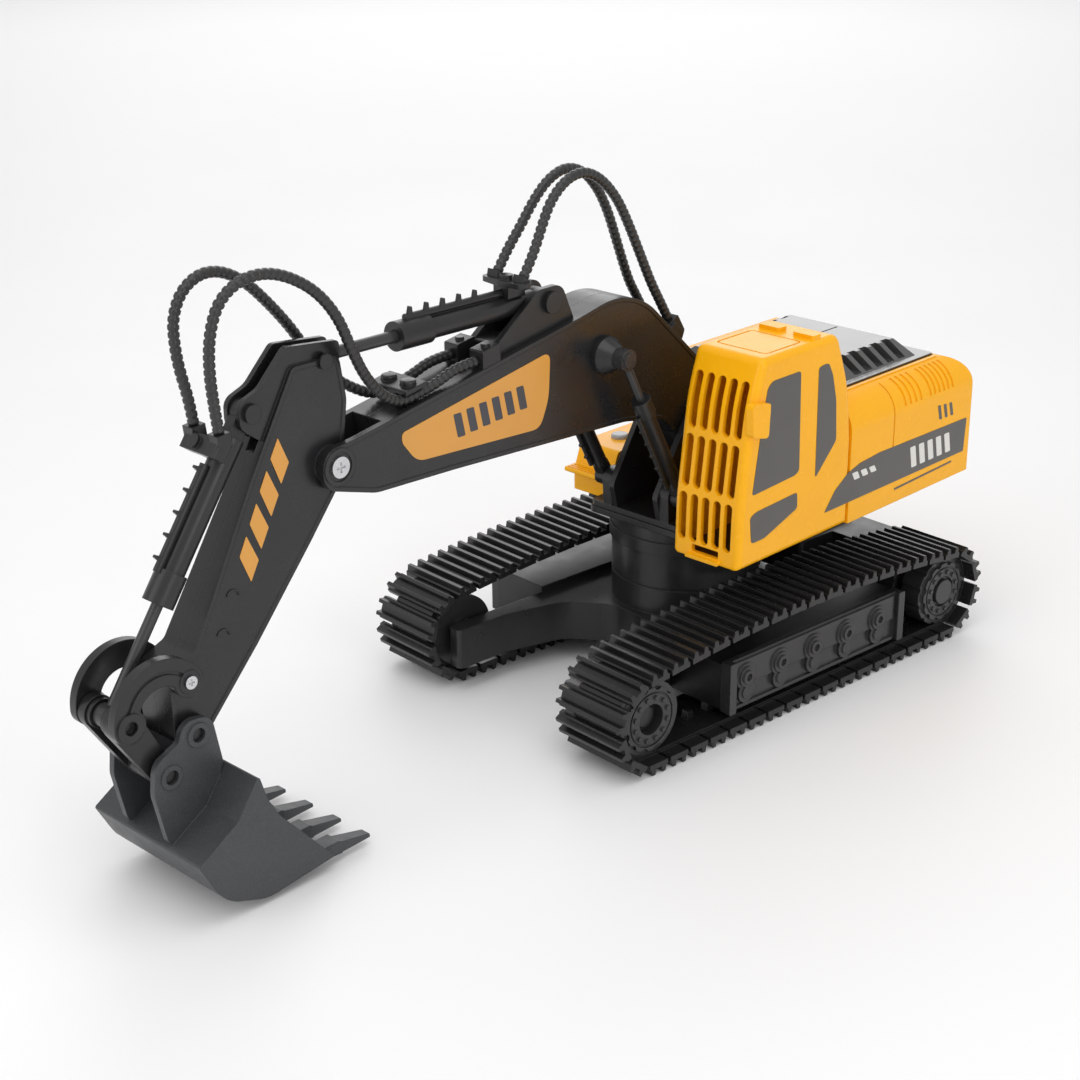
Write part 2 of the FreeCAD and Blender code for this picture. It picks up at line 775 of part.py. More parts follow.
def engine_hood():
    """The yellow engine housing, open below, with the bed of the dark cover on top."""
    piece = Piece("engine_hood")
    wall = float(size.wall)
    rear, front = size.house_rear, size.hood_front
    low = float(size.house_bottom)
    piece.pad("YZ", rear, front, hood_section(0, low))
    high = float(size.hood_top)
    corner = [
        ("line", Vector(float(rear) - 3, high - 9, 0), Vector(float(rear), high - 9, 0)),
        (
            "arc",
            Vector(float(rear), high - 9, 0),
            Vector(float(rear) + 9 - 9 * math.sqrt(0.5), high - 9 + 9 * math.sqrt(0.5), 0),
            Vector(float(rear) + 9, high, 0),
        ),
        ("line", Vector(float(rear) + 9, high, 0), Vector(float(rear) + 9, high + 3, 0)),
        ("line", Vector(float(rear) + 9, high + 3, 0), Vector(float(rear) - 3, high + 3, 0)),
        ("line", Vector(float(rear) - 3, high + 3, 0), Vector(float(rear) - 3, high - 9, 0)),
    ]
    piece.cut("XZ", size.house_right - 1, size.house_left + 1, corner)
    piece.cut("YZ", rear + 9, front - wall, hood_section(wall, low - 3))
    piece.cut("YZ", rear + wall, rear + 9, box(-33, low - 3, 45, high - 12, 4))
    under = box(float(rear) + wall, low, float(front), float(size.floor_top))
    piece.cut("XZ", size.house_right + wall, size.house_left - wall, under)
    piece.cut("XY", size.hood_top - 0.6, size.hood_top, box(-83, -26.4, -21, 38.4, 1))
    piece.pad("XY", size.hood_top - 0.3, size.hood_top + 0.35, box(-81, 39.4, -21.6, 40.5))
    groove = box(SEAM_AHEAD - 0.3, 71.0, SEAM_AHEAD + 0.3, 83.0)
    piece.cut("XZ", size.house_left - 0.4, size.house_left, groove)
    shoulder = (float(size.house_left) - HOOD_ROUND, high - HOOD_ROUND)
    rib = sector(shoulder, HOOD_ROUND - 0.45, HOOD_ROUND + 1, 12, 72)
    over = sector(shoulder, HOOD_ROUND - 0.4, HOOD_ROUND + 1, 2, 70)
    piece.cut("YZ", SEAM_AHEAD - 0.3, SEAM_AHEAD + 0.3, over)
    for spot in [-52.0 - 3.0 * i for i in range(4)] + [-66.5 - 2.6 * i for i in range(6)]:
        piece.cut("YZ", spot, spot + 1.1, rib)
    return piece


def engine_cover():
    """The dark engine cover: a flat plate and a raised block with louvres on both slopes."""
    piece = Piece("engine_cover")
    seat = size.hood_top - 0.6
    top = float(seat) + 6.2
    piece.pad("XY", seat, seat + 1.2, box(-82.6, -26, -21.6, 38, 1))
    low = float(seat) + 1.2
    ridge = [(-22.5, low), (35.5, low), (28.0, top, 1.0), (-15.5, top, 1.0)]
    piece.pad("YZ", -76, -21.6, rounded(ridge))
    rear = [(-79, low), (-75.8, low), (-72.8, top + 1), (-79, top + 1)]
    piece.cut("XZ", -30, 40, rounded(rear))
    for i in range(5):
        middle = -44.3 - 6.2 * i
        lean = rounded([(26.6, low + 0.4), (37, low + 0.4), (37, top + 1), (26.6, top + 1)])
        other = rounded([(-24, low + 0.4), (-14.2, low + 0.4), (-14.2, top + 1), (-24, top + 1)])
        piece.cut("YZ", middle - 1.9, middle + 1.9, lean, other)
    piece.cut("XY", top - 0.4, top, box(-72, 5.6, -22, 6.2), box(-38.2, -15, -37.6, 5.4))
    return piece


def right_toolbox():
    """The yellow box beside the boom, with a grooved step across its front."""
    piece = Piece("right_toolbox")
    wall = size.wall
    right, left = size.house_right, size.box_left
    low, high = float(size.house_bottom), float(size.box_top)
    side = [
        (-21.6, low),
        (14.2, low),
        (14.2, 59.2),
        (19.0, 59.2, 0.6),
        (19.0, 60.8, 0.6),
        (13.5, 60.8, 0.5),
        (10.9, high, 2.0),
        (-21.6, high),
    ]
    piece.pad("XZ", right, left, rounded(side))
    hollow = [(-20.0, low - 2), (12.6, low - 2), (12.6, 60.0, 1), (9.8, high - 1.6, 1), (-20.0, high - 1.6)]
    piece.cut("XZ", right + wall, left - wall, rounded(hollow))
    under = box(-22, low, CAB_BOX_FRONT, float(size.floor_top))
    piece.cut("XZ", right + wall, left, under)
    for ahead in (14.9, 16.3, 17.7):
        groove = box(ahead, 60.4, ahead + 0.6, 61)
        piece.cut("XZ", right + 0.8, left - 0.8, groove)
    piece.cut("XY", high - 0.8, high, circle(-0.7, -30.1, 3.0))
    return piece


def work_light():
    """A round lens let into the top of the box."""
    piece = Piece("work_light")
    high = size.box_top
    piece.pad("XY", high - 0.8, high + 1.4, circle(-0.7, -30.1, 3.0))
    piece.edges("Fillet", 0.9, lambda edge: edge.BoundBox.ZMin > float(high) + 1)
    return piece


def battery_cover():
    piece = Piece("battery_cover")
    high = float(size.house_bottom)
    low = high - 7.8
    side = [(-80.5, low, 1.5), (-49.5, low, 1.5), (-47.0, high), (-83, high)]
    piece.pad("XZ", -26, 38, rounded(side))
    piece.cut("XY", low, low + 0.5, *[box(-76, y, -58, y + 1.2) for y in (-14, -8, 18, 24)])
    return piece


def battery_pack():
    """The wrapped block of cells behind the battery cover."""
    piece = Piece("battery_pack")
    floor = float(size.floor_top)
    wrap = [(-82, floor, 2), (-38, floor, 2), (-38, floor + 14.6, 6), (-82, floor + 14.6, 6)]
    piece.pad("XZ", -19.0, 31.0, rounded(wrap))
    return piece


# --- boom ---------------------------------------------------------------------------------------

TOP_BACK, TOP_FRONT = (60.0, 129.2), (148.0, 114.2)

BOOM_SIDE = [
    (-8.6, 73.4, 8.6),
    (8.6, 73.4, 8.6),
    (21.0, 88.5, 14),
    (40.0, 92.1, 20),
    (112.0, 95.9, 60),
    (141.5, 97.0, 14),
    (159.7, 102.5, 5.3),
    (159.6, 113.1, 5.3),
    TOP_FRONT + (10,),
    TOP_BACK + (30,),
    (36.5, 134.1, 28),
    (-8.6, 92.2, 6),
]


def boom_top(ahead):
    """The level of the boom's straight upper edge."""
    share = (ahead - TOP_BACK[0]) / (TOP_FRONT[0] - TOP_BACK[0])
    return TOP_BACK[1] + share * (TOP_FRONT[1] - TOP_BACK[1])


FORK_BACK = 137.0


def boom_shell(name, side):
    """One half of the boom: a thin shell that ends in one cheek of the fork for the stick."""
    piece = Piece(name)

    def add(action, low, high, *loops):
        action("XZ", *sided(side, low, high), *loops)

    half = size.boom_half
    add(piece.pad, 0 * half, half, rounded(BOOM_SIDE))
    panel = rounded(inset(BOOM_SIDE, 1.3))
    add(piece.cut, half - 0.3, half, panel)
    inner = inset(BOOM_SIDE, 1.9)
    hollow = []
    for corner in inner:
        if corner[0] < 120:
            hollow.append(corner)
    front = [(FORK_BACK - 2.5, inner[4][1] + 1.6), (FORK_BACK - 2.5, boom_top(FORK_BACK - 2.5) - 1.9)]
    after = [i for i, corner in enumerate(hollow) if corner[0] > 100][0]
    hollow = hollow[: after + 1] + front + hollow[after + 1 :]
    add(piece.cut, 0 * half, half - 0.3 - size.boom_wall, rounded(hollow))
    foot_boss = circle(*BOOM_FOOT, 5.4)
    add(piece.pad, 0 * half, half, foot_boss)
    fork = box(FORK_BACK, 90, 170, 125)
    add(piece.cut, 0 * half, size.fork_half, fork)
    add(piece.pad, half - 0.3, half + 0.5, circle(*STICK_PIN, 5.3))
    add(piece.cut, half + 0.1, half + 0.5, circle(*STICK_PIN, 4.0))
    add(piece.cut, 0 * half, half + 0.5, circle(*STICK_PIN, 1.5))
    add(piece.cut, 0 * half, half, circle(*BOOM_FOOT, 3.0 + size.fit_gap))
    return piece


def stick_pivot_screws():
    """Two screws that hold the stick in the fork, each with a cross-slotted head."""
    piece = Piece("stick_pivot_screws")
    half = size.boom_half
    piece.both(piece.pad, "XZ", size.fork_half - 4.35, half + 0.1, circle(*STICK_PIN, 1.5))
    x, z = STICK_PIN
    piece.both(piece.pad, "XZ", half + 0.1, half + 0.8, circle(x, z, 3.0))
    slots = [box(x - 1.5, z - 0.3, x + 1.5, z + 0.3)], [box(x - 0.3, z - 1.5, x + 0.3, z + 1.5)]
    for slot in slots:
        piece.both(piece.cut, "XZ", half + 0.4, half + 0.8, *slot)
    return piece


def boom_studs():
    """The conical studs on which the lift cylinders' rods hang."""
    piece = Piece("boom_studs")
    half = size.boom_half - 0.3
    tip = float(size.eye_inner) - 0.1
    for side in (1, -1):
        levels = [(0, half), (5.9, half), (5.8, 9.6), (3.3, tip), (0, tip)]
        profile = [(radius, side * float(level)) for radius, level in levels]
        piece.turn("XY", LIFT_TOP[1], (LIFT_TOP[0], 0), rounded(profile))
    return piece


def arm_cylinder_bracket():
    """A saddle on the boom with two cheeks that hold the foot of the arm cylinder."""
    piece = Piece("arm_cylinder_bracket")
    x, z = ARM_FOOT
    cheek = [
        (60.5, boom_top(60.5)),
        (93.0, boom_top(93.0)),
        (92.0, boom_top(93.0) + 4.0, 1.5),
        (x + 5.0, z + 4.6, 4.4),
        (x - 4.6, z + 4.6, 4.4),
    ]
    piece.both(piece.pad, "XZ", 3.7, 5.7, rounded(cheek))
    web = [
        (84.0, boom_top(84.0)),
        (93.0, boom_top(93.0)),
        (92.0, boom_top(93.0) + 4.0, 1),
        (84.0, boom_top(84.0) + 3.4),
    ]
    piece.pad("XZ", -3.7, 3.7, rounded(web))
    piece.both(piece.cut, "XZ", 3.7, 5.7, circle(x, z, 1.5))
    return piece


def arm_cylinder_pin():
    piece = Piece("arm_cylinder_pin")
    piece.pad("XZ", -5.7, 5.7, circle(*ARM_FOOT, 1.5))
    piece.both(piece.pad, "XZ", 5.7, 7.2, circle(*ARM_FOOT, 3.3))
    return piece


def boom_slab(low, high, back, front):
    """An outline that stands on the boom's straight top between two heights above it."""
    return rounded(
        [
            (back, boom_top(back) + low),
            (front, boom_top(front) + low),
            (front, boom_top(front) + high, 0.5),
            (back, boom_top(back) + high, 0.5),
        ]
    )


HOSE_AT = 5.2


def hose_tee_clip():
    """A plate on a post that holds both hoses down on the boom."""
    piece = Piece("hose_tee_clip")
    post = boom_slab(0, 4.2, 121.0, 129.0)
    piece.pad("XZ", -3.0, 3.0, post)
    piece.pad("XZ", -7.4, 7.4, boom_slab(3.9, 5.2, 121.0, 129.0))
    for across in (-3.9, 3.9):
        profile = [(0, boom_top(125.0) + 4.7), (2.3, boom_top(125.0) + 4.7)]
        profile += [(2.3, boom_top(125.0) + 6.4, 0.7), (0, boom_top(125.0) + 6.6)]
        piece.turn("XZ", across, (125.0, 0), rounded(profile))
    return piece


def hose_box_clips():
    """Two small boxes, one over the end of each hose on the boom."""
    piece = Piece("hose_box_clips")
    for across in (-HOSE_AT, HOSE_AT):
        outline = boom_slab(0, 5.2, 93.0, 100.0)
        piece.pad("XZ", across - 2.7, across + 2.7, outline)
        middle = boom_top(96.5)
        piece.turn(
            "XZ", across, (96.5, 0), rounded([(0, middle + 5), (1.3, middle + 5), (1.3, middle + 5.9), (0, middle + 5.9)])
        )
    return piece


ARCH_END = (16.6, 119.4)


def rear_hose_clip():
    """A bar across the boom's sloping back edge with a socket for each arched hose."""
    piece = Piece("rear_hose_clip")
    low, high = Vector(*BOOM_SIDE[-1][:2], 0), Vector(*BOOM_SIDE[-2][:2], 0)
    up = (high - low).normalize()
    out = Vector(-up.y, up.x, 0)
    mouth = Vector(*ARCH_END, 0)
    foot = low + up * (mouth - low).dot(up)
    height = (mouth - foot).dot(out)
    last, ending = ARCH_LEFT[-2], ARCH_LEFT[-1]
    back = Vector(ending[0] - last[0], ending[2] - last[2], 0).normalize()
    across = Vector(-back.y, back.x, 0)
    if across.dot(out) < 0:
        across = -across

    def on(spot, radius=0.0):
        return (spot.x, spot.y, radius)

    ground = mouth - across * (height / across.dot(out))
    crown = mouth + across * 2.3
    tail = crown + back * 6.5
    heel = foot + up * ((tail - foot).dot(up) - 1.2)
    socket = rounded([on(heel), on(ground), on(crown, 0.4), on(tail, 1.0)])
    for middle in (-4.8, 4.8):
        piece.pad("XZ", middle - 2.4, middle + 2.4, socket)
    bar = [foot - up * 6.0, foot - up * 0.5, foot - up * 0.5 + out * 2.4, foot - up * 6.0 + out * 2.4]
    piece.pad("XZ", -7.8, 7.8, rounded([on(spot) for spot in bar]))
    return piece


# --- cylinders ----------------------------------------------------------------------------------


def tube(piece, low, high, radius, side=(0, 0)):
    piece.pad("XY", low, high, circle(side[0], side[1], radius))


def spiked_pipe(piece, out, across, low, high, spikes, radius, reach):
    """The moulded pipe beside a barrel, with its row of small hooks."""
    tube(piece, low, high, radius, (-out, across))
    web = box(-out, across - 0.5, -out / 3, across + 0.5)
    piece.pad("XY", low + 0.5, high - 0.5, web)
    for spot in spikes:
        hook = [
            (-out, spot - 0.9),
            (-out, spot + 0.9),
            (-out - reach, spot + 0.2, 0.2),
            (-out - reach, spot - 0.5, 0.2),
        ]
        piece.pad("XZ", across - 0.6, across + 0.6, rounded(hook))


LIFT_LENGTH = distance(LIFT_FOOT, LIFT_TOP)
ARM_LENGTH = distance(ARM_FOOT, ARM_TOP)
CURL_LENGTH = distance(CURL_FOOT, CROSS_PIN)
LIFT_ROD, ARM_ROD, CURL_ROD = 1.35, 1.75, 1.6
ROD_GAP = 0.07


def boom_barrel(name, side):
    piece = Piece(name, LIFT_AXIS)
    middle = side * float(size.eye_inner + size.eye_outer) / 2
    eye = sided(side, size.eye_inner, size.eye_outer)
    piece.pad("XZ", *eye, circle(0, 0, 3.2))
    neck = [(-2.2, 1.0), (2.2, 1.0), (1.9, 6.4), (-1.9, 6.4)]
    piece.pad("XZ", *sided(side, size.eye_inner + 0.2, size.eye_outer - 0.2), rounded(neck))
    piece.cut("XZ", *eye, circle(0, 0, 1.5 + size.fit_gap))
    tube(piece, 5.4, 40.5, 2.4, (0, middle))
    tube(piece, 36.5, 42.5, 3.1, (0, middle))
    spiked_pipe(piece, -3.5, middle, 8, 38, [12 + 5.2 * i for i in range(5)], 0.9, -1.3)
    piece.cut("XY", 8.0, 42.5, circle(0, middle, LIFT_ROD + ROD_GAP))
    return piece


def boom_rod(name, side):
    piece = Piece(name, LIFT_AXIS)
    middle = side * float(size.eye_inner + size.eye_outer) / 2
    eye = sided(side, size.eye_inner, size.eye_outer)
    piece.pad("XZ", *eye, circle(0, LIFT_LENGTH, 3.3))
    piece.pad("XZ", *sided(side, size.eye_outer, size.eye_outer + 0.7), circle(0, LIFT_LENGTH, 2.4))
    tube(piece, 21.0, LIFT_LENGTH - 2, LIFT_ROD, (0, middle))
    return piece


def arm_barrel():
    piece = Piece("arm_barrel", ARM_AXIS)
    half = size.rod_eye_half + 2
    piece.pad("XZ", -half, half, circle(0, 0, 3.6))
    piece.cut("XZ", -half, half, circle(0, 0, 1.5 + size.fit_gap))
    tube(piece, 2.8, 50, 3.3)
    tube(piece, 44.0, 56.0, 4.2)
    spiked_pipe(piece, 4.5, 0, 15, 52, [25.4 + 6.2 * i for i in range(5)], 1.1, 2.9)
    piece.cut("XY", 9.0, 56.0, circle(0, 0, ARM_ROD + ROD_GAP))
    return piece


def arm_rod():
    piece = Piece("arm_rod", ARM_AXIS)
    piece.pad("XZ", -size.rod_eye_half, size.rod_eye_half, circle(0, ARM_LENGTH, 3.2))
    tube(piece, 26.0, ARM_LENGTH - 2, ARM_ROD)
    flats = [box(-4, 1.6, 4, 4), box(-4, -4, 4, -1.6)]
    piece.cut("XY", ARM_LENGTH - 14, ARM_LENGTH + 4, *flats)
    return piece


def in_cylinder(axis, point):
    """A route point in a cylinder's own frame."""
    return axis.inverse().multVec(Vector(point[0] - float(size.origin_ahead), 0, point[2]))


def arm_hose_clip():
    """The butterfly-shaped holder of the arched hoses on the arm cylinder."""
    piece = Piece("arm_hose_clip", ARM_AXIS)
    piece.pad("XY", 8.0, 14.8, box(-7.0, -3.0, -3.0, 3.0, 0.3))
    piece.cut("XY", 8.0, 14.8, circle(0, 0, 3.3))
    wings = rounded(
        [
            (7.0, -8.2, 2.0),
            (12.0, -3.0, 3),
            (12.0, 3.0, 3),
            (7.0, 8.2, 2.0),
            (14.8, 8.2, 2.0),
            (16.2, 0.0, 3),
            (14.8, -8.2, 2.0),
        ][::-1]
    )
    turned = []
    for edge in wings:
        turned.append((edge[0],) + tuple(Vector(p.y, p.x, 0) for p in edge[1:]))
    piece.pad("YZ", -8.3, -6.8, turned)
    piece.pad("YZ", -9.6, -8.3, circle(0, 12.6, 2.0))
    mouth, onward = [in_cylinder(ARM_AXIS, point) for point in ARCH_LEFT[:2]]
    up = Vector(onward.x - mouth.x, onward.z - mouth.z, 0).normalize()
    aside = Vector(-up.y, up.x, 0)
    face = Vector(mouth.x, mouth.z, 0)
    ends = sorted([face + aside * 2.1, face - aside * 2.1], key=lambda spot: spot.y)
    socket = [(spot.x, spot.y) for spot in ends]
    socket += [(-7.0, socket[1][1] + 0.6), (-7.0, socket[0][1] - 0.6)]
    for across in (-HOSE_AT, HOSE_AT):
        piece.pad("XZ", across - 2.1, across + 2.1, rounded(socket))
    return piece


def bucket_barrel():
    piece = Piece("bucket_barrel", CURL_AXIS)
    piece.pad("XZ", -size.rod_eye_half, size.rod_eye_half, circle(0, 0, 3.3))
    piece.cut("XZ", -size.rod_eye_half, size.rod_eye_half, circle(0, 0, 1.4 + size.fit_gap))
    neck = rounded([(-2.6, 2.2), (2.6, 2.2), (2.6, 9), (-2.6, 9)])
    piece.pad("XZ", -size.rod_eye_half, size.rod_eye_half, neck)
    tube(piece, 7.5, 50, 3.5)
    tube(piece, 45.0, 54.0, 4.3)
    spiked_pipe(piece, 4.6, 0, 16.6, 46.5, [18.4 + 6.2 * i for i in range(5)], 1.1, 2.7)
    piece.cut("XY", 10.0, 54.0, circle(0, 0, CURL_ROD + ROD_GAP))
    return piece


def bucket_rod():
    piece = Piece("bucket_rod", CURL_AXIS)
    piece.pad("XZ", -2.0, 2.0, circle(0, CURL_LENGTH, 3.2))
    tube(piece, 24.0, CURL_LENGTH - 2, CURL_ROD)
    return piece


def bucket_hose_clip():
    """The box in which the two front hoses end, on the bucket cylinder."""
    piece = Piece("bucket_hose_clip", CURL_AXIS)
    piece.pad("XY", 9.8, 14.8, box(-8.9, -7.2, -4.2, 7.2, 0.8))
    piece.pad("XY", 9.8, 14.8, box(-6.0, -3.0, -1.5, 3.0))
    piece.cut("XY", 9.8, 14.8, circle(0, 0, 3.5))
    piece.pad("YZ", -10.0, -8.9, circle(-1.6, 12.3, 1.8))
    mouth, onward = [in_cylinder(CURL_AXIS, point) for point in FRONT_LEFT[:2]]
    up = Vector(onward.x - mouth.x, onward.z - mouth.z, 0).normalize()
    aside = Vector(-up.y, up.x, 0)
    face = Vector(mouth.x, mouth.z, 0)
    ends = [face + aside * 2.1, face - aside * 2.1]
    deep = [spot - up * 4.0 for spot in reversed(ends)]
    socket = [(spot.x, spot.y) for spot in ends + deep]
    for across in (-HOSE_AT, HOSE_AT):
        piece.pad("XZ", across - 2.1, across + 2.1, rounded(socket))
    return piece


# --- stick --------------------------------------------------------------------------------------

STICK_SIDE = [
    (203.4, 45.2, 4),
    (212.4, 45.2, 4),
    (212.9, 66.4, 4),
    (204.2, 70.2, 3),
    (165.3, 137.3, 2.5),
    (149.6, 137.1, 2.5),
    (147.6, 124.5, 8),
    (149.6, 110.0, 8),
    (152.0, 101.5, 12),
    (163.5, 88.4, 14),
]
STICK_CHEEK = [
    (149.3, 125.0),
    (176.0, 119.5, 2),
    (182.4, 124.4, 3.6),
    (182.4, 131.0, 3.6),
    (175.6, 133.6, 6),
    (166.6, 142.7, 2.5),
    (148.3, 140.8, 1.5),
]
STICK_TOP_HALF = 4.1


def stick_wedge(proud):
    """What is cut from the stick's side so that it narrows from the bucket end to the top."""
    top, foot = STICK_TOP_HALF + proud, float(size.stick_half) + proud
    return [(top, 160), (top, 110), (foot, 66), (foot, 20), (foot + 4, 20), (foot + 4, 160)]


def stick_shell(name, side):
    piece = Piece(name)

    def add(action, low, high, *loops):
        action("XZ", *sided(side, low, high), *loops)

    def narrow(proud):
        outline = [(side * across, up) for across, up in stick_wedge(proud)]
        piece.cut("YZ", 140.0, 220.0, rounded(outline[:: int(side)]))

    half = size.stick_half
    add(piece.pad, 0 * half, half, rounded(STICK_SIDE))
    narrow(0)
    rim = [rounded(STICK_SIDE), rounded(inset(STICK_SIDE, 1.2))]
    add(piece.pad, 2.8, half + 0.3, *rim)
    narrow(0.3)
    add(piece.cut, 0 * half, 2.6, rounded(inset(STICK_SIDE, 2.4)))
    for pin, radius in ((BUCKET_PIN, 3.9), (ROCKER_PIN, 3.6), (STICK_PIN, 3.6)):
        add(piece.pad, 0 * half, 2.8, circle(*pin, radius))
    add(piece.pad, size.slot_half, size.cheek_outer, rounded(STICK_CHEEK))
    slot = [(145, 129.5, 0), (161, 129.5, 3), (167, 121), (187, 112), (187, 146), (145, 146)]
    add(piece.cut, 0 * half, size.slot_half, rounded(slot))
    add(piece.pad, 4.0, size.fork_half - 0.1, circle(*STICK_PIN, 5.3))
    add(piece.pad, half, size.ear_inner - 0.1, circle(*BUCKET_PIN, 3.9))
    add(piece.cut, 0 * half, size.ear_inner, circle(*BUCKET_PIN, 2.0 + size.fit_gap))
    add(piece.cut, 0 * half, size.fork_half, circle(*STICK_PIN, 1.5 + size.fit_gap))
    add(piece.cut, 0 * half, half + 0.3, circle(*ROCKER_PIN, 1.2))
    add(piece.cut, size.slot_half, size.cheek_outer, circle(*CURL_FOOT, 1.4))
    return piece


def stick_pins():
    """The pin of the bucket cylinder's foot, with the caps of the arm rod's pin."""
    piece = Piece("stick_pins")
    cheek = size.cheek_outer
    piece.pad("XZ", -cheek, cheek, circle(*CURL_FOOT, 1.4))
    piece.both(piece.pad, "XZ", cheek, cheek + 1.2, circle(*CURL_FOOT, 2.6))
    piece.both(piece.pad, "XZ", STICK_TOP_HALF + 0.3, STICK_TOP_HALF + 1.2, circle(*ARM_TOP, 2.2))
    return piece


# --- linkage and bucket -------------------------------------------------------------------------

ROCKER_CENTRE = (217.6, 58.9)


def rocker_arm(name, side):
    """A C-shaped arm from the stick to the cross pin, with its half of that pin moulded on."""
    piece = Piece(name)

    def add(action, low, high, *loops):
        action("XZ", *sided(side, low, high), *loops)

    inner, outer = size.rocker_inner, size.rocker_outer
    add(piece.pad, inner, outer, sector(ROCKER_CENTRE, 7.2, 14.6, -4, 150))
    add(piece.pad, inner, outer, circle(*ROCKER_PIN, 4.3))
    add(piece.pad, inner, outer, circle(*CROSS_PIN, 4.7))
    add(piece.pad, 2.3, inner, circle(*CROSS_PIN, 2.0))
    add(piece.pad, 2.3, size.link_inner - 0.1, circle(*CROSS_PIN, 4.0))
    add(piece.cut, outer - 0.5, outer, sector(ROCKER_CENTRE, 10.2, 11.2, 8, 138))
    add(piece.pad, outer - 0.5, outer + 0.5, circle(*CROSS_PIN, 4.0))
    add(piece.pad, outer - 0.5, outer + 0.3, circle(*ROCKER_PIN, 3.2))
    add(piece.cut, outer - 1.2, outer + 0.5, circle(*CROSS_PIN, 1.9))
    add(piece.cut, inner, outer + 0.3, circle(*ROCKER_PIN, 1.2 + size.fit_gap))
    return piece


def rocker_screws():
    piece = Piece("rocker_screws")
    head = size.rocker_outer + 0.4
    piece.both(piece.pad, "XZ", 2.8, head, circle(*ROCKER_PIN, 1.2))
    piece.both(piece.pad, "XZ", head, head + 0.6, circle(*ROCKER_PIN, 1.8))
    x, z = ROCKER_PIN
    for slot in (box(x - 0.9, z - 0.2, x + 0.9, z + 0.2), box(x - 0.2, z - 0.9, x + 0.2, z + 0.9)):
        piece.both(piece.cut, "XZ", head + 0.3, head + 0.6, slot)
    return piece


def bucket_link():
    piece = Piece("bucket_link")
    plate = hull(CROSS_PIN, 4.5, LINK_PIN, 3.5)
    piece.both(piece.pad, "XZ", size.link_inner, size.link_outer, plate)
    piece.pad("XZ", -size.ear_inner + 0.1, size.ear_inner - 0.1, circle(*LINK_PIN, 3.5))
    bore = circle(*CROSS_PIN, 2.0 + size.fit_gap)
    piece.both(piece.cut, "XZ", size.link_inner, size.link_outer, bore)
    return piece


BUCKET_SIDE = [
    (175.2, 4.2),
    (198.6, 1.5, 14),
    (212.6, 6.4, 14),
    (219.8, 19.8, 0.8),
    (206.7, 27.8, 0.6),
    (199.0, 38.6, 0.6),
    (196.6, 30.6, 1.5),
    (192.9, 24.2, 2),
    (184.8, 15.1, 12),
]
EAR_SIDE = [
    (204.0, 29.5),
    (217.0, 20.0, 0.8),
    (219.4, 22.0, 3),
    (222.4, 36.5, 6),
    (221.4, 45.2, 4.6),
    (213.8, 48.6, 2),
    (211.8, 54.0, 4.5),
    (203.0, 53.2, 4.5),
    (200.2, 38.2, 0.5),
]
TEETH_AT = (-18.45, -6.15, 6.15, 18.45)


def bucket():
    """The bucket: folded back plates, curved belly, side plates, ears and four teeth."""
    piece = Piece("bucket")
    half, wall = size.bucket_half, size.bucket_wall
    piece.pad("XZ", -half, half, rounded(BUCKET_SIDE))
    shell = BUCKET_SIDE[1:6]
    open_front = [(150.0, 7.15)] + shell[:-1] + [(199.0 - 12.0, 38.6 + 16.8), (150.0, 55.4)]
    piece.cut("XZ", -half + wall, half - wall, rounded(inset(open_front, float(wall))))
    tooth = [
        (179.0, 2.7),
        (179.0, 6.3),
        (171.4, 6.4, 1),
        (170.6, 5.6, 0.4),
        (159.8, 3.4, 0.3),
        (159.6, 2.2, 0.3),
        (170.0, 2.2, 2),
    ]
    for middle in TEETH_AT:
        piece.pad("XZ", middle - 2.6, middle + 2.6, rounded(tooth[::-1]))
        for side in (1, -1):
            edge, root, tip = [middle + side * half_width for half_width in (2.7, 2.2, 1.5)]
            wedge = [(158.0, edge), (170.6, edge), (170.6, root), (158.0, tip)]
            piece.cut("XY", 0.5, 7.0, rounded(wedge[:: -1 if side > 0 else 1]))
    piece.both(piece.pad, "XZ", size.ear_inner, size.ear_outer, rounded(EAR_SIDE))
    for pin in (BUCKET_PIN, LINK_PIN):
        piece.both(piece.pad, "XZ", size.ear_outer - 0.5, size.ear_outer + 0.5, circle(*pin, 3.4))
        piece.both(piece.cut, "XZ", size.ear_inner, size.ear_outer + 0.5, circle(*pin, 2.0))
    return piece


def bucket_pins():
    """The bucket's pivot pin and the two short pins that guide the link."""
    piece = Piece("bucket_pins")
    inset_end = size.ear_outer - 0.7
    piece.pad("XZ", -inset_end, inset_end, circle(*BUCKET_PIN, 2.0))
    piece.both(piece.pad, "XZ", size.ear_inner, inset_end, circle(*LINK_PIN, 2.0))
    return piece


# --- hoses --------------------------------------------------------------------------------------


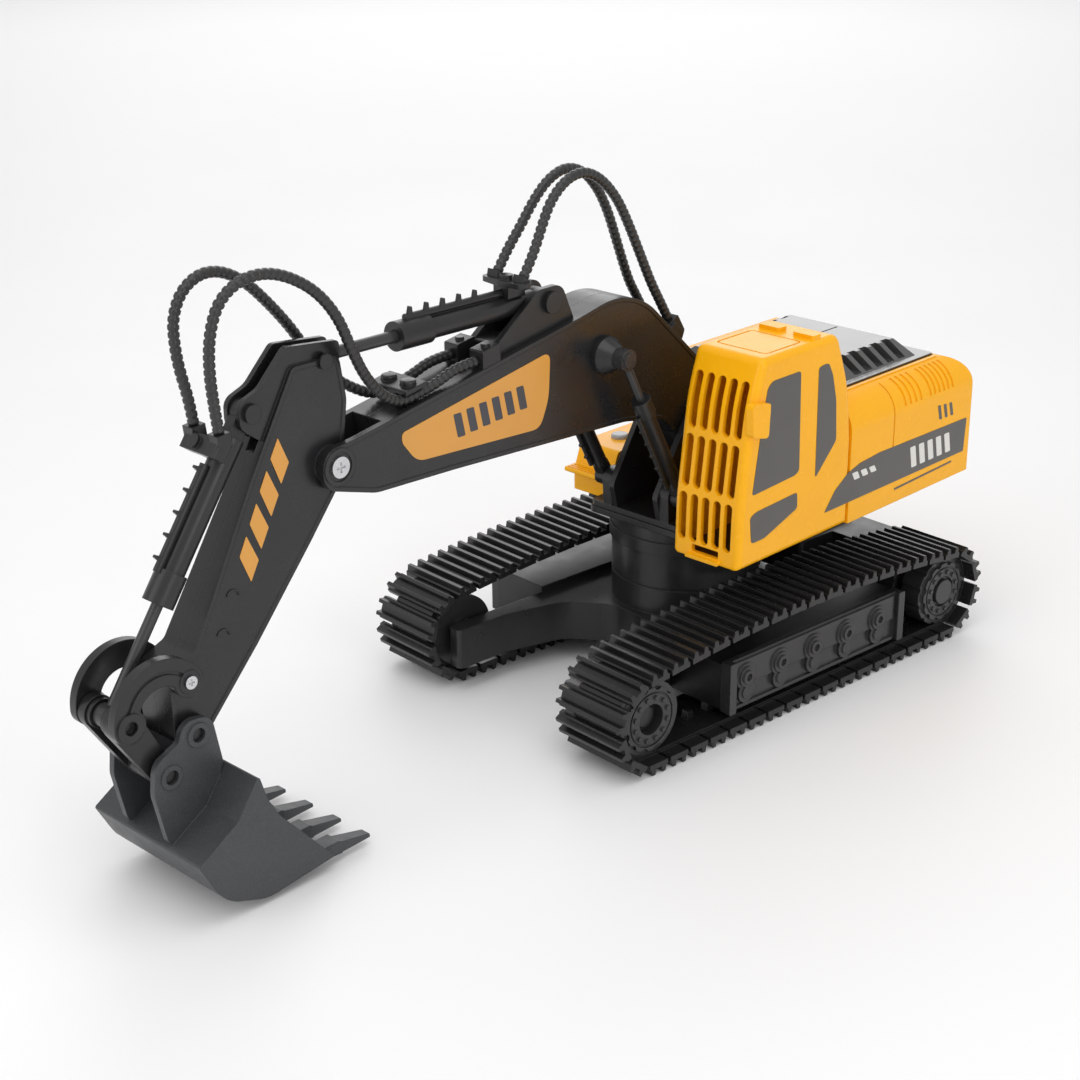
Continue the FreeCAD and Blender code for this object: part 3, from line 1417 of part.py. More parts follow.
def hose(name, route):
    """A hose of straight runs joined by arcs as large as the runs allow."""
    points = [Vector(*point) for point in route]
    edges, radii, at = [], [], points[0]
    for before, here, after in zip(points, points[1:], points[2:]):
        back, ahead = here - before, after - here
        turn = back.getAngle(ahead)
        reach = 0.45 * min(back.Length, ahead.Length)
        radius = reach / math.tan(turn / 2)
        back.normalize()
        ahead.normalize()
        start, end = here - back * reach, here + ahead * reach
        inward = (ahead - back).normalize()
        middle = here + inward * (radius / math.cos(turn / 2) - radius)
        edges += [Part.LineSegment(at, start).toShape(), Part.Arc(start, middle, end).toShape()]
        radii.append(radius)
        at = end
    edges.append(Part.LineSegment(at, points[-1]).toShape())
    path = Part.Wire(edges)
    radius = float(size.hose_radius)
    forward = points[1] - points[0]
    section = Part.Wire([Part.Circle(points[0], forward, radius).toShape()])
    solid = path.makePipeShell([section], True, False)
    expected = math.pi * radius**2 * path.Length
    print(
        name,
        "length",
        round(path.Length, 1),
        "smallest radius",
        round(min(radii), 1) if radii else "straight",
        "volume share",
        round(solid.Volume / expected, 4),
    )
    built = doc.addObject("Part::Feature", name)
    built.Label = name
    built.Shape = solid
    built.Placement = HOUSE
    made.append(built)


# Two loops run from the bucket cylinder's clip, round the head of the stick, to the boom.
FRONT_LEFT = [
    (190.6, 5.2, 126.0),
    (191.4, 5.2, 132.4),
    (192.6, 5.7, 142.4),
    (192.2, 6.2, 151.8),
    (189.4, 6.7, 159.6),
    (183.6, 7.3, 164.0),
    (176.0, 7.9, 165.0),
    (168.0, 8.2, 162.6),
    (159.3, 8.4, 157.0),
    (152.6, 8.4, 148.9),
    (148.6, 8.4, 139.4),
    (143.4, 7.4, 130.2),
    (136.2, 6.2, 122.8),
    (129.4, 5.2, 119.3),
    (122.4, 5.2, 120.3),
    (115.4, 5.2, 121.7),
    (107.8, 5.2, 124.4),
    (100.0, 5.2, 124.4),
]
FRONT_RIGHT = [
    (190.6, -5.2, 126.0),
    (191.4, -5.2, 132.4),
    (193.4, -5.8, 141.6),
    (193.9, -6.2, 148.4),
    (193.6, -6.4, 154.4),
    (190.4, -6.7, 160.4),
    (184.4, -7.0, 163.7),
    (177.4, -7.3, 163.2),
    (169.6, -7.7, 158.9),
    (161.6, -8.1, 151.0),
    (154.6, -8.4, 142.9),
    (149.8, -8.4, 135.6),
    (144.6, -7.6, 128.8),
    (137.0, -6.3, 122.9),
    (129.4, -5.2, 119.3),
    (122.4, -5.2, 120.3),
    (115.4, -5.2, 121.7),
    (107.8, -5.2, 124.4),
    (100.0, -5.2, 124.4),
]
# Two arches run from the arm cylinder's clip to the clip on the boom's back.
ARCH_LEFT = [
    (80.9, 5.2, 144.7),
    (76.8, 5.2, 150.4),
    (73.2, 5.2, 158.0),
    (69.4, 5.2, 165.0),
    (63.2, 5.2, 170.0),
    (55.8, 5.2, 171.5),
    (48.4, 5.2, 168.3),
    (41.4, 5.2, 161.6),
    (36.2, 5.2, 153.2),
    (30.4, 5.0, 142.6),
    (25.0, 4.8, 132.6),
    (20.6, 4.8, 125.8),
    (16.6, 4.8, 119.4),
]
ARCH_RIGHT = [
    (80.9, -5.2, 144.7),
    (76.8, -5.2, 150.4),
    (71.4, -5.0, 156.4),
    (66.2, -4.8, 163.0),
    (60.2, -4.6, 168.4),
    (52.8, -4.5, 170.9),
    (45.2, -4.5, 168.6),
    (38.8, -4.6, 162.4),
    (34.2, -4.7, 154.8),
    (30.6, -4.8, 146.4),
    (27.2, -4.8, 138.0),
    (24.0, -4.8, 130.8),
    (20.6, -4.8, 125.8),
    (16.6, -4.8, 119.4),
]


def hoses():
    hose("front_hose_left", FRONT_LEFT)
    hose("front_hose_right", FRONT_RIGHT)
    hose("arch_hose_left", ARCH_LEFT)
    hose("arch_hose_right", ARCH_RIGHT)


# --- assembly -----------------------------------------------------------------------------------

chassis_frame()
chassis_cover()
roller_cover("roller_cover_left", 1)
roller_cover("roller_cover_right", -1)
track_belt("track_belt_left", 1)
track_belt("track_belt_right", -1)
wheel("idler_left", 1, float(size.wheel_ahead), False)
wheel("idler_right", -1, float(size.wheel_ahead), False)
wheel("sprocket_left", 1, -float(size.wheel_ahead), True)
wheel("sprocket_right", -1, -float(size.wheel_ahead), True)
idler_axles()
drive_gearbox()
drive_motors()
slew_motor()
turntable()
slew_retainer()
house_floor()
boom_bracket()
boom_foot_pin()
cab_shell()
engine_hood()
engine_cover()
right_toolbox()
work_light()
battery_cover()
battery_pack()
boom_shell("boom_left_shell", 1)
boom_shell("boom_right_shell", -1)
boom_studs()
stick_pivot_screws()
arm_cylinder_bracket()
arm_cylinder_pin()
hose_tee_clip()
hose_box_clips()
rear_hose_clip()
boom_barrel("boom_barrel_left", 1)
boom_barrel("boom_barrel_right", -1)
boom_rod("boom_rod_left", 1)
boom_rod("boom_rod_right", -1)
arm_barrel()
arm_rod()
arm_hose_clip()
bucket_barrel()
bucket_rod()
bucket_hose_clip()
stick_shell("stick_left_shell", 1)
stick_shell("stick_right_shell", -1)
stick_pins()
rocker_arm("rocker_left", 1)
rocker_arm("rocker_right", -1)
rocker_screws()
bucket_link()
bucket()
bucket_pins()
hoses()

doc.recompute()

faults = []
for thing in doc.Objects:
    if "Invalid" in thing.State or "Error" in thing.State:
        faults.append(thing.Name + " failed")
for piece in made:
    if piece.Shape.isNull() or not piece.Shape.isValid() or not piece.Shape.Solids:
        faults.append(piece.Label + " has no valid shape")
if faults:
    raise RuntimeError("; ".join(faults))

os.makedirs("parts", exist_ok=True)
for piece in made:
    shape = piece.Shape
    print(piece.Label, len(shape.Solids), "solids", round(shape.Volume), "mm3")
    shape.exportStep("parts/" + piece.Label + ".step")
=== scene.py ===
import json
import math

import bpy
from mathutils import Euler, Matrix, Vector


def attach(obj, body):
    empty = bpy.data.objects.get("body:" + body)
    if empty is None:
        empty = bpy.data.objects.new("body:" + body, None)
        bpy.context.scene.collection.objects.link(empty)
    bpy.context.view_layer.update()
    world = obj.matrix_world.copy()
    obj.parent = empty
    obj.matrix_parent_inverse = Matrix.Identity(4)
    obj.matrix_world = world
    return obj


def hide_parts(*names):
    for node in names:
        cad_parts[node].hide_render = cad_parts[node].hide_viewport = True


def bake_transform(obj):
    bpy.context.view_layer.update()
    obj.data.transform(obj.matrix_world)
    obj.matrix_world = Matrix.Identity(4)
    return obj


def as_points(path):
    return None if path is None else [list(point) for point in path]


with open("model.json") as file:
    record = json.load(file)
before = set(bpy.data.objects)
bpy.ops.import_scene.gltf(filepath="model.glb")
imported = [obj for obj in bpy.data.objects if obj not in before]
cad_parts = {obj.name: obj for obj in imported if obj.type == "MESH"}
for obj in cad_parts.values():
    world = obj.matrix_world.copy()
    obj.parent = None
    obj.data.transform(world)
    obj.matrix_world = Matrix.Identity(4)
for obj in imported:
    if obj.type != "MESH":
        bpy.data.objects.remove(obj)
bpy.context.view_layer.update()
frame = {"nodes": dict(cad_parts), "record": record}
nodes = frame["nodes"]

# Places on the toy are in millimetres: ahead of the slewing axis, to the left of it and above the
# ground. The frame's origin lies ORIGIN_AHEAD in front of that axis.
MM = 0.001
ORIGIN_AHEAD = 70.7


def place(ahead, left, up):
    """A point in the frame, in metres."""
    return Vector(((ahead - ORIGIN_AHEAD) * MM, left * MM, up * MM))


# --- materials ----------------------------------------------------------------------------------

BEVEL_SAMPLES = 6
# Sockets of a Mix node that mixes colours, which carry the same names as those for other kinds.
MIX_SHARE, MIX_FIRST, MIX_SECOND, MIX_RESULT = 0, 6, 7, 2


class Surface:
    """A procedural material, built up from a Principled shader."""

    def __init__(self, name):
        self.material = bpy.data.materials.new(name)
        self.material.use_nodes = True
        self.tree = self.material.node_tree
        self.tree.nodes.clear()
        output = self.add("ShaderNodeOutputMaterial")
        self.shader = self.add("ShaderNodeBsdfPrincipled")
        self.link(self.shader, "BSDF", output, "Surface")
        self.place = self.add("ShaderNodeTexCoord")

    def add(self, kind, **values):
        node = self.tree.nodes.new(kind)
        for name, value in values.items():
            setattr(node, name, value)
        return node

    def link(self, source, output, target, socket):
        self.tree.links.new(source.outputs[output], target.inputs[socket])

    def set(self, socket, value):
        self.shader.inputs[socket].default_value = value

    def noise(self, scale, detail=3.0):
        """Noise whose grain is 1 / scale metres."""
        node = self.add("ShaderNodeTexNoise")
        node.inputs["Scale"].default_value = scale
        node.inputs["Detail"].default_value = detail
        node.inputs["Roughness"].default_value = 0.55
        self.link(self.place, "Object", node, "Vector")
        return node

    def spread(self, source, output, low, high, start=0.3, end=0.7):
        """A value mapped between two limits."""
        node = self.add("ShaderNodeMapRange")
        node.inputs["From Min"].default_value = start
        node.inputs["From Max"].default_value = end
        node.inputs["To Min"].default_value = low
        node.inputs["To Max"].default_value = high
        self.link(source, output, node, "Value")
        return node

    def tint(self, color, change, scale):
        """The base colour with slow patches a little lighter and darker."""
        patches = self.noise(scale)
        ramp = self.add("ShaderNodeValToRGB")
        dark, light = ramp.color_ramp.elements
        dark.position, light.position = 0.32, 0.68
        dark.color = [channel * (1 - change) for channel in color] + [1]
        light.color = [min(1.0, channel * (1 + change)) for channel in color] + [1]
        self.link(patches, "Fac", ramp, "Fac")
        self.link(ramp, "Color", self.shader, "Base Color")
        return ramp

    def gloss(self, low, high, scale):
        """Roughness that wanders between two values, as handled plastic does."""
        wander = self.spread(self.noise(scale, 4.0), "Fac", low, high)
        self.link(wander, "Result", self.shader, "Roughness")

    def relief(self, layers, edge):
        """Relief from noises (scale, strength, depth in mm), over edges rounded to a radius in mm."""
        last = self.add("ShaderNodeBevel", samples=BEVEL_SAMPLES)
        last.inputs["Radius"].default_value = edge * MM
        for scale, strength, depth in layers:
            bump = self.add("ShaderNodeBump")
            bump.inputs["Strength"].default_value = strength
            bump.inputs["Distance"].default_value = depth * MM
            self.link(self.noise(scale), "Fac", bump, "Height")
            self.link(last, "Normal", bump, "Normal")
            last = bump
        self.link(last, "Normal", self.shader, "Normal")


def plastic(name, color, rough, change, grain, edge, coat=0.0, shine=0.5):
    """Moulded plastic: slow colour patches, wandering gloss, an orange-peel skin and fine grain."""
    surface = Surface(name)
    surface.tint(color, change, 45)
    surface.gloss(rough[0], rough[1], 160)
    surface.relief([(420, 0.05, 0.05), grain], edge)
    surface.set("Specular IOR Level", shine)
    surface.set("Coat Weight", coat)
    surface.set("Coat Roughness", 0.12)
    return surface.material


def metal(name, color, rough):
    """Plated or turned metal with fine turning marks."""
    surface = Surface(name)
    surface.tint(color, 0.06, 300)
    surface.gloss(rough[0], rough[1], 900)
    surface.relief([(2500, 0.15, 0.01)], 0.15)
    surface.set("Metallic", 1.0)
    return surface.material


def flaked(name, color, fleck, rough):
    """Dark plastic with fine metallic flakes in it."""
    surface = Surface(name)
    ramp = surface.tint(color, 0.05, 45)
    flakes = surface.add("ShaderNodeTexVoronoi")
    flakes.inputs["Scale"].default_value = 3800
    surface.link(surface.place, "Object", flakes, "Vector")
    share = surface.spread(flakes, "Distance", 1.0, 0.0, 0.0, 0.28)
    mix = surface.add("ShaderNodeMix", data_type="RGBA")
    surface.link(share, "Result", mix, MIX_SHARE)
    surface.link(ramp, "Color", mix, MIX_FIRST)
    mix.inputs[MIX_SECOND].default_value = fleck + (1,)
    surface.link(mix, MIX_RESULT, surface.shader, "Base Color")
    surface.gloss(rough[0], rough[1], 200)
    surface.relief([(500, 0.06, 0.05), (5000, 0.1, 0.02)], 0.35)
    surface.set("Metallic", 0.25)
    return surface.material


def film(name, color, rough):
    """A printed sticker: an even colour under a thin clear film with slight waviness."""
    surface = Surface(name)
    surface.tint(color, 0.02, 90)
    surface.gloss(rough[0], rough[1], 120)
    surface.relief([(150, 0.04, 0.06), (2600, 0.03, 0.01)], 0.05)
    surface.set("Coat Weight", 0.35)
    surface.set("Coat Roughness", 0.15)
    return surface.material


def clear(name, color):
    """Clear moulded lens plastic."""
    surface = Surface(name)
    surface.tint(color, 0.03, 200)
    surface.gloss(0.05, 0.12, 300)
    surface.relief([(700, 0.1, 0.03)], 0.2)
    surface.set("Transmission Weight", 0.6)
    surface.set("IOR", 1.49)
    return surface.material


YELLOW = (0.95, 0.44, 0.004)
BLACK = (0.012, 0.012, 0.0125)
SATIN = (0.014, 0.014, 0.015)
WHEEL = (0.026, 0.026, 0.026)
COVER = (0.05, 0.052, 0.05)
RUBBER = (0.012, 0.012, 0.012)
HOSE = (0.022, 0.022, 0.021)
ROD = (0.03, 0.03, 0.031)
GUNMETAL, FLAKE = (0.05, 0.054, 0.056), (0.2, 0.21, 0.215)

# Each plastic: its colour, limits of roughness, change of colour, grain and edge radius in mm.
yellow = plastic("yellow_plastic", YELLOW, (0.22, 0.3), 0.02, (2600, 0.03, 0.01), 0.3, shine=0.28)
black = plastic("black_plastic", BLACK, (0.27, 0.38), 0.12, (3600, 0.1, 0.02), 0.35)
satin = plastic("satin_black", SATIN, (0.24, 0.34), 0.12, (3600, 0.06, 0.02), 0.35)
wheel_black = plastic("wheel_plastic", WHEEL, (0.26, 0.36), 0.12, (3600, 0.08, 0.02), 0.4)
cover_grey = plastic("cover_gloss", COVER, (0.12, 0.2), 0.05, (2500, 0.02, 0.01), 0.3, coat=0.5)
rubber = plastic("track_rubber", RUBBER, (0.24, 0.36), 0.15, (2600, 0.1, 0.02), 0.3)
hose_black = plastic("hose_rubber", HOSE, (0.28, 0.38), 0.12, (2600, 0.08, 0.02), 0.15)
rod_black = plastic("rod_plastic", ROD, (0.25, 0.34), 0.08, (3000, 0.06, 0.01), 0.3)
gunmetal = flaked("bucket_plastic", GUNMETAL, FLAKE, (0.38, 0.48))
steel = metal("steel", (0.62, 0.62, 0.64), (0.18, 0.32))
dark_film = film("dark_film", (0.06, 0.054, 0.048), (0.32, 0.42))
amber_film = film("amber_film", (0.68, 0.31, 0.045), (0.32, 0.42))
pale_film = film("pale_film", (0.72, 0.7, 0.66), (0.32, 0.42))
ink = film("ink", (0.035, 0.035, 0.045), (0.35, 0.45))
lens = clear("lens", (0.85, 0.87, 0.9))
cell_wrap = film("cell_wrap", (0.05, 0.16, 0.4), (0.25, 0.35))

by_slot = {
    "yellow_plastic": yellow,
    "black_plastic": black,
    "wheel_plastic": wheel_black,
    "rod_plastic": rod_black,
    "cover_gloss": cover_grey,
    "lens": lens,
    "cell_wrap": cell_wrap,
    "steel": steel,
    "track_rubber": rubber,
    "hose_rubber": hose_black,
}
by_node = {
    "bucket": gunmetal,
    "boom_left_shell": satin,
    "boom_right_shell": satin,
    "stick_left_shell": satin,
    "stick_right_shell": satin,
    "roller_cover_left": wheel_black,
    "roller_cover_right": wheel_black,
}
for part in frame["record"]["subparts"]:
    name, slot_name = part["node"], part["material_slot"]
    mesh = nodes[name].data
    mesh.materials.clear()
    mesh.materials.append(by_node.get(name, by_slot[slot_name]))


# --- meshes -------------------------------------------------------------------------------------

CORNER_STEPS = 5


def piece(name, points, faces, material, body, smooth=False):
    """A mesh that rides on a body and takes its finish from a slot."""
    mesh = bpy.data.meshes.new(name)
    mesh.from_pydata([tuple(p) for p in points], [], faces)
    mesh.validate()
    mesh.update()
    mesh.materials.append(material)
    for polygon in mesh.polygons:
        polygon.use_smooth = smooth
    made = bpy.data.objects.new(name, mesh)
    bpy.context.scene.collection.objects.link(made)
    if body:
        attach(made, body)
    return made


def softened(corners, radius):
    """An outline (across, up) with its corners rounded off."""
    points = []
    count = len(corners)
    for i, corner in enumerate(corners):
        here = Vector(corner)
        back = Vector(corners[i - 1]) - here
        ahead = Vector(corners[(i + 1) % count]) - here
        reach = min(radius, back.length * 0.45, ahead.length * 0.45)
        start, end = here + back.normalized() * reach, here + ahead.normalized() * reach
        for k in range(CORNER_STEPS + 1):
            share = k / CORNER_STEPS
            point = start * (1 - share) ** 2 + here * 2 * share * (1 - share) + end * share**2
            points.append(point)
    return points


def plate(name, outline, at, thickness, material, body):
    """A thin plate: an outline of (across, up) pairs, laid out by at(across, up, height)."""
    count = len(outline)
    points = [at(p[0], p[1], 0.0) for p in outline] + [at(p[0], p[1], thickness) for p in outline]
    faces = [tuple(reversed(range(count))), tuple(range(count, 2 * count))]
    faces += [(i, (i + 1) % count, count + (i + 1) % count, count + i) for i in range(count)]
    return piece(name, points, faces, material, body)


def on_side(level):
    """Lays out a sticker on a wall that faces left, or right if the level is negative."""
    side = math.copysign(1, level)
    return lambda across, up, height: place(across, level + side * height, up)


# --- hoses --------------------------------------------------------------------------------------

HOSE_RADIUS, GROOVE_RADIUS, RIB_PITCH = 1.55, 1.14, 1.95
HOSE_SIDES = 16
# Along one rib, as shares of its pitch: where the radius is the hose's or the groove's.
RIB_PROFILE = ((0.22, HOSE_RADIUS), (0.68, HOSE_RADIUS), (0.9, GROOVE_RADIUS))
# Spans from the boom to the body at a hose's other end, handed to each hose but not used.
LOOP_SPAN = place(133, 0, 122), place(190, 0, 140)
ARCH_SPAN = place(40, 0, 150), place(80, 0, 150)

FRONT_LEFT = [
    (190.6, 5.2, 126.0),
    (191.4, 5.2, 132.4),
    (192.6, 5.7, 142.4),
    (192.2, 6.2, 151.8),
    (189.4, 6.7, 159.6),
    (183.6, 7.3, 164.0),
    (176.0, 7.9, 165.0),
    (168.0, 8.2, 162.6),
    (159.3, 8.4, 157.0),
    (152.6, 8.4, 148.9),
    (148.6, 8.4, 139.4),
    (143.4, 7.4, 130.2),
    (136.2, 6.2, 122.8),
    (129.4, 5.2, 119.3),
    (122.4, 5.2, 120.3),
    (115.4, 5.2, 121.7),
    (107.8, 5.2, 124.4),
    (100.0, 5.2, 124.4),
]
FRONT_RIGHT = [
    (190.6, -5.2, 126.0),
    (191.4, -5.2, 132.4),
    (193.4, -5.8, 141.6),
    (193.9, -6.2, 148.4),
    (193.6, -6.4, 154.4),
    (190.4, -6.7, 160.4),
    (184.4, -7.0, 163.7),
    (177.4, -7.3, 163.2),
    (169.6, -7.7, 158.9),
    (161.6, -8.1, 151.0),
    (154.6, -8.4, 142.9),
    (149.8, -8.4, 135.6),
    (144.6, -7.6, 128.8),
    (137.0, -6.3, 122.9),
    (129.4, -5.2, 119.3),
    (122.4, -5.2, 120.3),
    (115.4, -5.2, 121.7),
    (107.8, -5.2, 124.4),
    (100.0, -5.2, 124.4),
]
ARCH_LEFT = [
    (80.9, 5.2, 144.7),
    (76.8, 5.2, 150.4),
    (73.2, 5.2, 158.0),
    (69.4, 5.2, 165.0),
    (63.2, 5.2, 170.0),
    (55.8, 5.2, 171.5),
    (48.4, 5.2, 168.3),
    (41.4, 5.2, 161.6),
    (36.2, 5.2, 153.2),
    (30.4, 5.0, 142.6),
    (25.0, 4.8, 132.6),
    (20.6, 4.8, 125.8),
    (16.6, 4.8, 119.4),
]
ARCH_RIGHT = [
    (80.9, -5.2, 144.7),
    (76.8, -5.2, 150.4),
    (71.4, -5.0, 156.4),
    (66.2, -4.8, 163.0),
    (60.2, -4.6, 168.4),
    (52.8, -4.5, 170.9),
    (45.2, -4.5, 168.6),
    (38.8, -4.6, 162.4),
    (34.2, -4.7, 154.8),
    (30.6, -4.8, 146.4),
    (27.2, -4.8, 138.0),
    (24.0, -4.8, 130.8),
    (20.6, -4.8, 125.8),
    (16.6, -4.8, 119.4),
]


def centreline(route):
    """Points along the smooth curve that a route steers."""
    data = bpy.data.curves.new("route", "CURVE")
    data.dimensions = "3D"
    spline = data.splines.new("NURBS")
    spline.points.add(len(route) - 1)
    for point, spot in zip(spline.points, route):
        point.co = tuple(spot) + (1.0,)
    spline.order_u = 3
    spline.use_endpoint_u = True
    spline.resolution_u = 24
    holder = bpy.data.objects.new("route", data)
    mesh = bpy.data.meshes.new_from_object(holder)
    line = [vertex.co.copy() for vertex in mesh.vertices]
    bpy.data.objects.remove(holder)
    bpy.data.curves.remove(data)
    bpy.data.meshes.remove(mesh)
    return line


def walk(line):
    """A function that gives the point and direction at a distance along a line, and its length."""
    reached = [0.0]
    for before, after in zip(line, line[1:]):
        reached.append(reached[-1] + (after - before).length)

    def at(distance):
        distance = min(max(distance, 0.0), reached[-1])
        i = next(k for k in range(1, len(reached)) if reached[k] >= distance - 1e-12)
        step = reached[i] - reached[i - 1]
        share = (distance - reached[i - 1]) / step if step > 0 else 0.0
        return line[i - 1].lerp(line[i], share), (line[i] - line[i - 1]).normalized()

    return at, reached[-1]


def ribbed_hose(name, route, node):
    """A corrugated hose along a route, with its end discs closed."""
    at, length = walk(centreline([place(*spot) for spot in route]))
    ribs = int(length / (RIB_PITCH * MM))
    pitch = length / ribs
    stations = [(0.0, GROOVE_RADIUS)]
    for rib in range(ribs):
        stations += [((rib + share) * pitch, radius) for share, radius in RIB_PROFILE]
    stations.append((length, GROOVE_RADIUS))
    points, faces, centres = [], [], []
    for distance, radius in stations:
        centre, forward = at(distance)
        up = forward.cross(Vector((0, 1, 0))).normalized()
        aside = up.cross(forward).normalized()
        centres.append(tuple(centre))
        for k in range(HOSE_SIDES):
            angle = 2 * math.pi * k / HOSE_SIDES
            spoke = aside * math.cos(angle) + up * math.sin(angle)
            points.append(centre + spoke * radius * MM)
    for ring in range(len(stations) - 1):
        for k in range(HOSE_SIDES):
            a, b = ring * HOSE_SIDES + k, ring * HOSE_SIDES + (k + 1) % HOSE_SIDES
            faces.append((a, b, b + HOSE_SIDES, a + HOSE_SIDES))
    faces.append(tuple(reversed(range(HOSE_SIDES))))
    faces.append(tuple(range(len(points) - HOSE_SIDES, len(points))))
    made = piece(name, points, faces, hose_black, None, smooth=True)
    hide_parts(node)
    return made, centres, length


def crossing_hose(name, route, node, body, start, end):
    """A hose from the boom to another body, built along its route and baked in place."""
    made, centres, length = ribbed_hose(name, route, node)
    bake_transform(made)
    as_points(centres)


def hoses():
    for word, loop, arch in (("left", FRONT_LEFT, ARCH_LEFT), ("right", FRONT_RIGHT, ARCH_RIGHT)):
        crossing_hose("front_loop_" + word, loop, "front_hose_" + word, "stick", *LOOP_SPAN)
        crossing_hose("arch_loop_" + word, arch, "arch_hose_" + word, "arm_barrel", *ARCH_SPAN)


hoses()


# --- stickers -----------------------------------------------------------------------------------

# Thicknesses of a sticker, of print on it and of print straight on the plastic.
STICKER, PRINT_ON_STICKER, PRINT_ON_PLASTIC = 0.12, 0.05, 0.06
# Levels of the walls they lie on, and radii of their corners.
CAB_LEFT, HOOD_RIGHT, BOOM_SIDE = 49.3, -37.2, 7.7
WINDOW_CORNER, BAND_CORNER, MARK_CORNER, PLATE_CORNER, SMALL_CORNER = 1.2, 0.6, 0.5, 3.2, 0.4

FRONT_WINDOW = [
    (20.5, 109.4), (22.8, 107.8), (24.0, 102.8), (26.9, 86.2), (28.8, 75.2),
    (7.6, 76.2), (5.7, 77.3), (6.8, 109.4),
]
REAR_WINDOW = [
    (-2.3, 108.2), (-2.8, 72.4), (-13.0, 82.3), (-12.0, 95.7), (-9.7, 104.3),
    (-7.3, 108.7), (-4.3, 108.7),
]
LOWER_WINDOW = [
    (6.2, 70.2), (26.5, 69.4), (29.4, 68.3), (28.5, 59.6), (22.1, 59.6), (5.9, 64.9),
]
WINDOWS = {
    "front_window": FRONT_WINDOW,
    "rear_window": REAR_WINDOW,
    "lower_window": LOWER_WINDOW,
}
LEFT_BAND = [
    (-8.5, 59.1), (-87.6, 59.3), (-88.4, 71.1), (-37.7, 71.8), (-26.8, 71.0), (-20.5, 69.3),
    (-13.9, 65.3),
]
RIGHT_BAND = [(-26.5, 59.1), (-87.6, 59.3), (-88.4, 71.1), (-37.7, 71.8), (-31.0, 70.8)]
THIN_LINE = [(-47.2, 56.1), (-47.2, 56.8), (-80.7, 57.6), (-80.7, 57.0)]

# Slanted bars in place of lettering: where the front lower corner is, and the height of the top.
BAND_MARKS = [(-56.4 - 5.0 * i, 61.5, 68.9 - 0.1 * i) for i in range(5)]
BAND_MARKS += [(-24.0 - 4.6 * i, 66.0, 68.6 - 0.2 * i) for i in range(3)]
HOOD_MARKS = [(-71.6 - 3.4 * i, 74.4 - 0.1 * i, 79.6 - 0.3 * i) for i in range(3)]
BOOM_MARKS = [(110.4 - 5.0 * i, 104.9 + 0.4 * i, 112.1 + 0.4 * i) for i in range(6)]

BOOM_PLATE = [
    (131.3, 111.5), (72.6, 121.7), (73.4, 107.7), (77.1, 99.2), (126.1, 101.9), (131.4, 108.7),
]
STRIPE = [(171.3, 119.5), (168.1, 112.0), (171.2, 106.8), (174.1, 114.5)]
STRIPES = 4
STRIPE_STEP = (4.27, -7.8)
# The stick's walls slope between these (height, half width) places.
STICK_WIDE, STICK_NARROW = (66.0, 6.6), (110.0, 4.1)
STICK_GAP = 0.02
HOOKS = ((190.3, 81.1), (194.6, 71.4))
HOOK_RADIUS, HOOK_WIDTH, HOOK_HEIGHT = 2.2, 0.5, 0.3


def stick_level(up):
    """How far the stick's side stands from its middle at a height."""
    share = (up - STICK_WIDE[0]) / (STICK_NARROW[0] - STICK_WIDE[0])
    share = min(max(share, 0.0), 1.0)
    return STICK_WIDE[1] + share * (STICK_NARROW[1] - STICK_WIDE[1])


def on_stick(side):
    """Lays out a sticker on the sloping left or right wall of the stick."""
    def at(across, up, height):
        return place(across, side * (stick_level(up) + height + STICK_GAP), up)

    return at


def slanted(across, low, high, width=3.0, lean=1.4):
    """A leaning bar whose front lower corner is at (across, low)."""
    front = [(across, low), (across + lean, high)]
    return front + [(across + lean - width, high), (across - width, low)]


def hooked(centre):
    """A short hooked ridge: part of a ring."""
    angles = [math.radians(20 + 20 * i) for i in range(9)]
    outer = [(math.cos(a) * HOOK_RADIUS, math.sin(a) * HOOK_RADIUS) for a in angles]
    inside = HOOK_RADIUS - HOOK_WIDTH
    inner = [(math.cos(a) * inside, math.sin(a) * inside) for a in reversed(angles)]
    return [(centre[0] + across, centre[1] + up) for across, up in outer + inner]


def house_sticker(name, outline, at, thickness=STICKER, material=dark_film):
    plate(name, outline, at, thickness, material, "house")


def cab_and_hood_stickers():
    left, right = on_side(CAB_LEFT), on_side(HOOD_RIGHT)
    for name, outline in WINDOWS.items():
        house_sticker(name, softened(outline, WINDOW_CORNER), left)
    house_sticker("left_band", softened(LEFT_BAND, BAND_CORNER), left)
    house_sticker("right_band", softened(RIGHT_BAND, BAND_CORNER), right)
    house_sticker("left_line", THIN_LINE, left)
    house_sticker("right_line", THIN_LINE, right)
    above = on_side(CAB_LEFT + STICKER)
    for i, mark in enumerate(BAND_MARKS):
        bar = softened(slanted(*mark), MARK_CORNER)
        house_sticker("band_mark_%d" % i, bar, above, PRINT_ON_STICKER, pale_film)
    for i, mark in enumerate(HOOD_MARKS):
        bar = softened(slanted(*mark, width=1.6), SMALL_CORNER)
        house_sticker("hood_mark_%d" % i, bar, left, PRINT_ON_PLASTIC)


def boom_stickers(side, word):
    at, above = on_side(side * BOOM_SIDE), on_side(side * (BOOM_SIDE + STICKER))
    shape = softened(BOOM_PLATE, PLATE_CORNER)
    plate("boom_plate_" + word, shape, at, STICKER, amber_film, "boom")
    for i, mark in enumerate(BOOM_MARKS):
        name = "boom_mark_%s_%d" % (word, i)
        bar = softened(slanted(*mark, lean=1.6), MARK_CORNER)
        plate(name, bar, above, PRINT_ON_STICKER, ink, "boom")


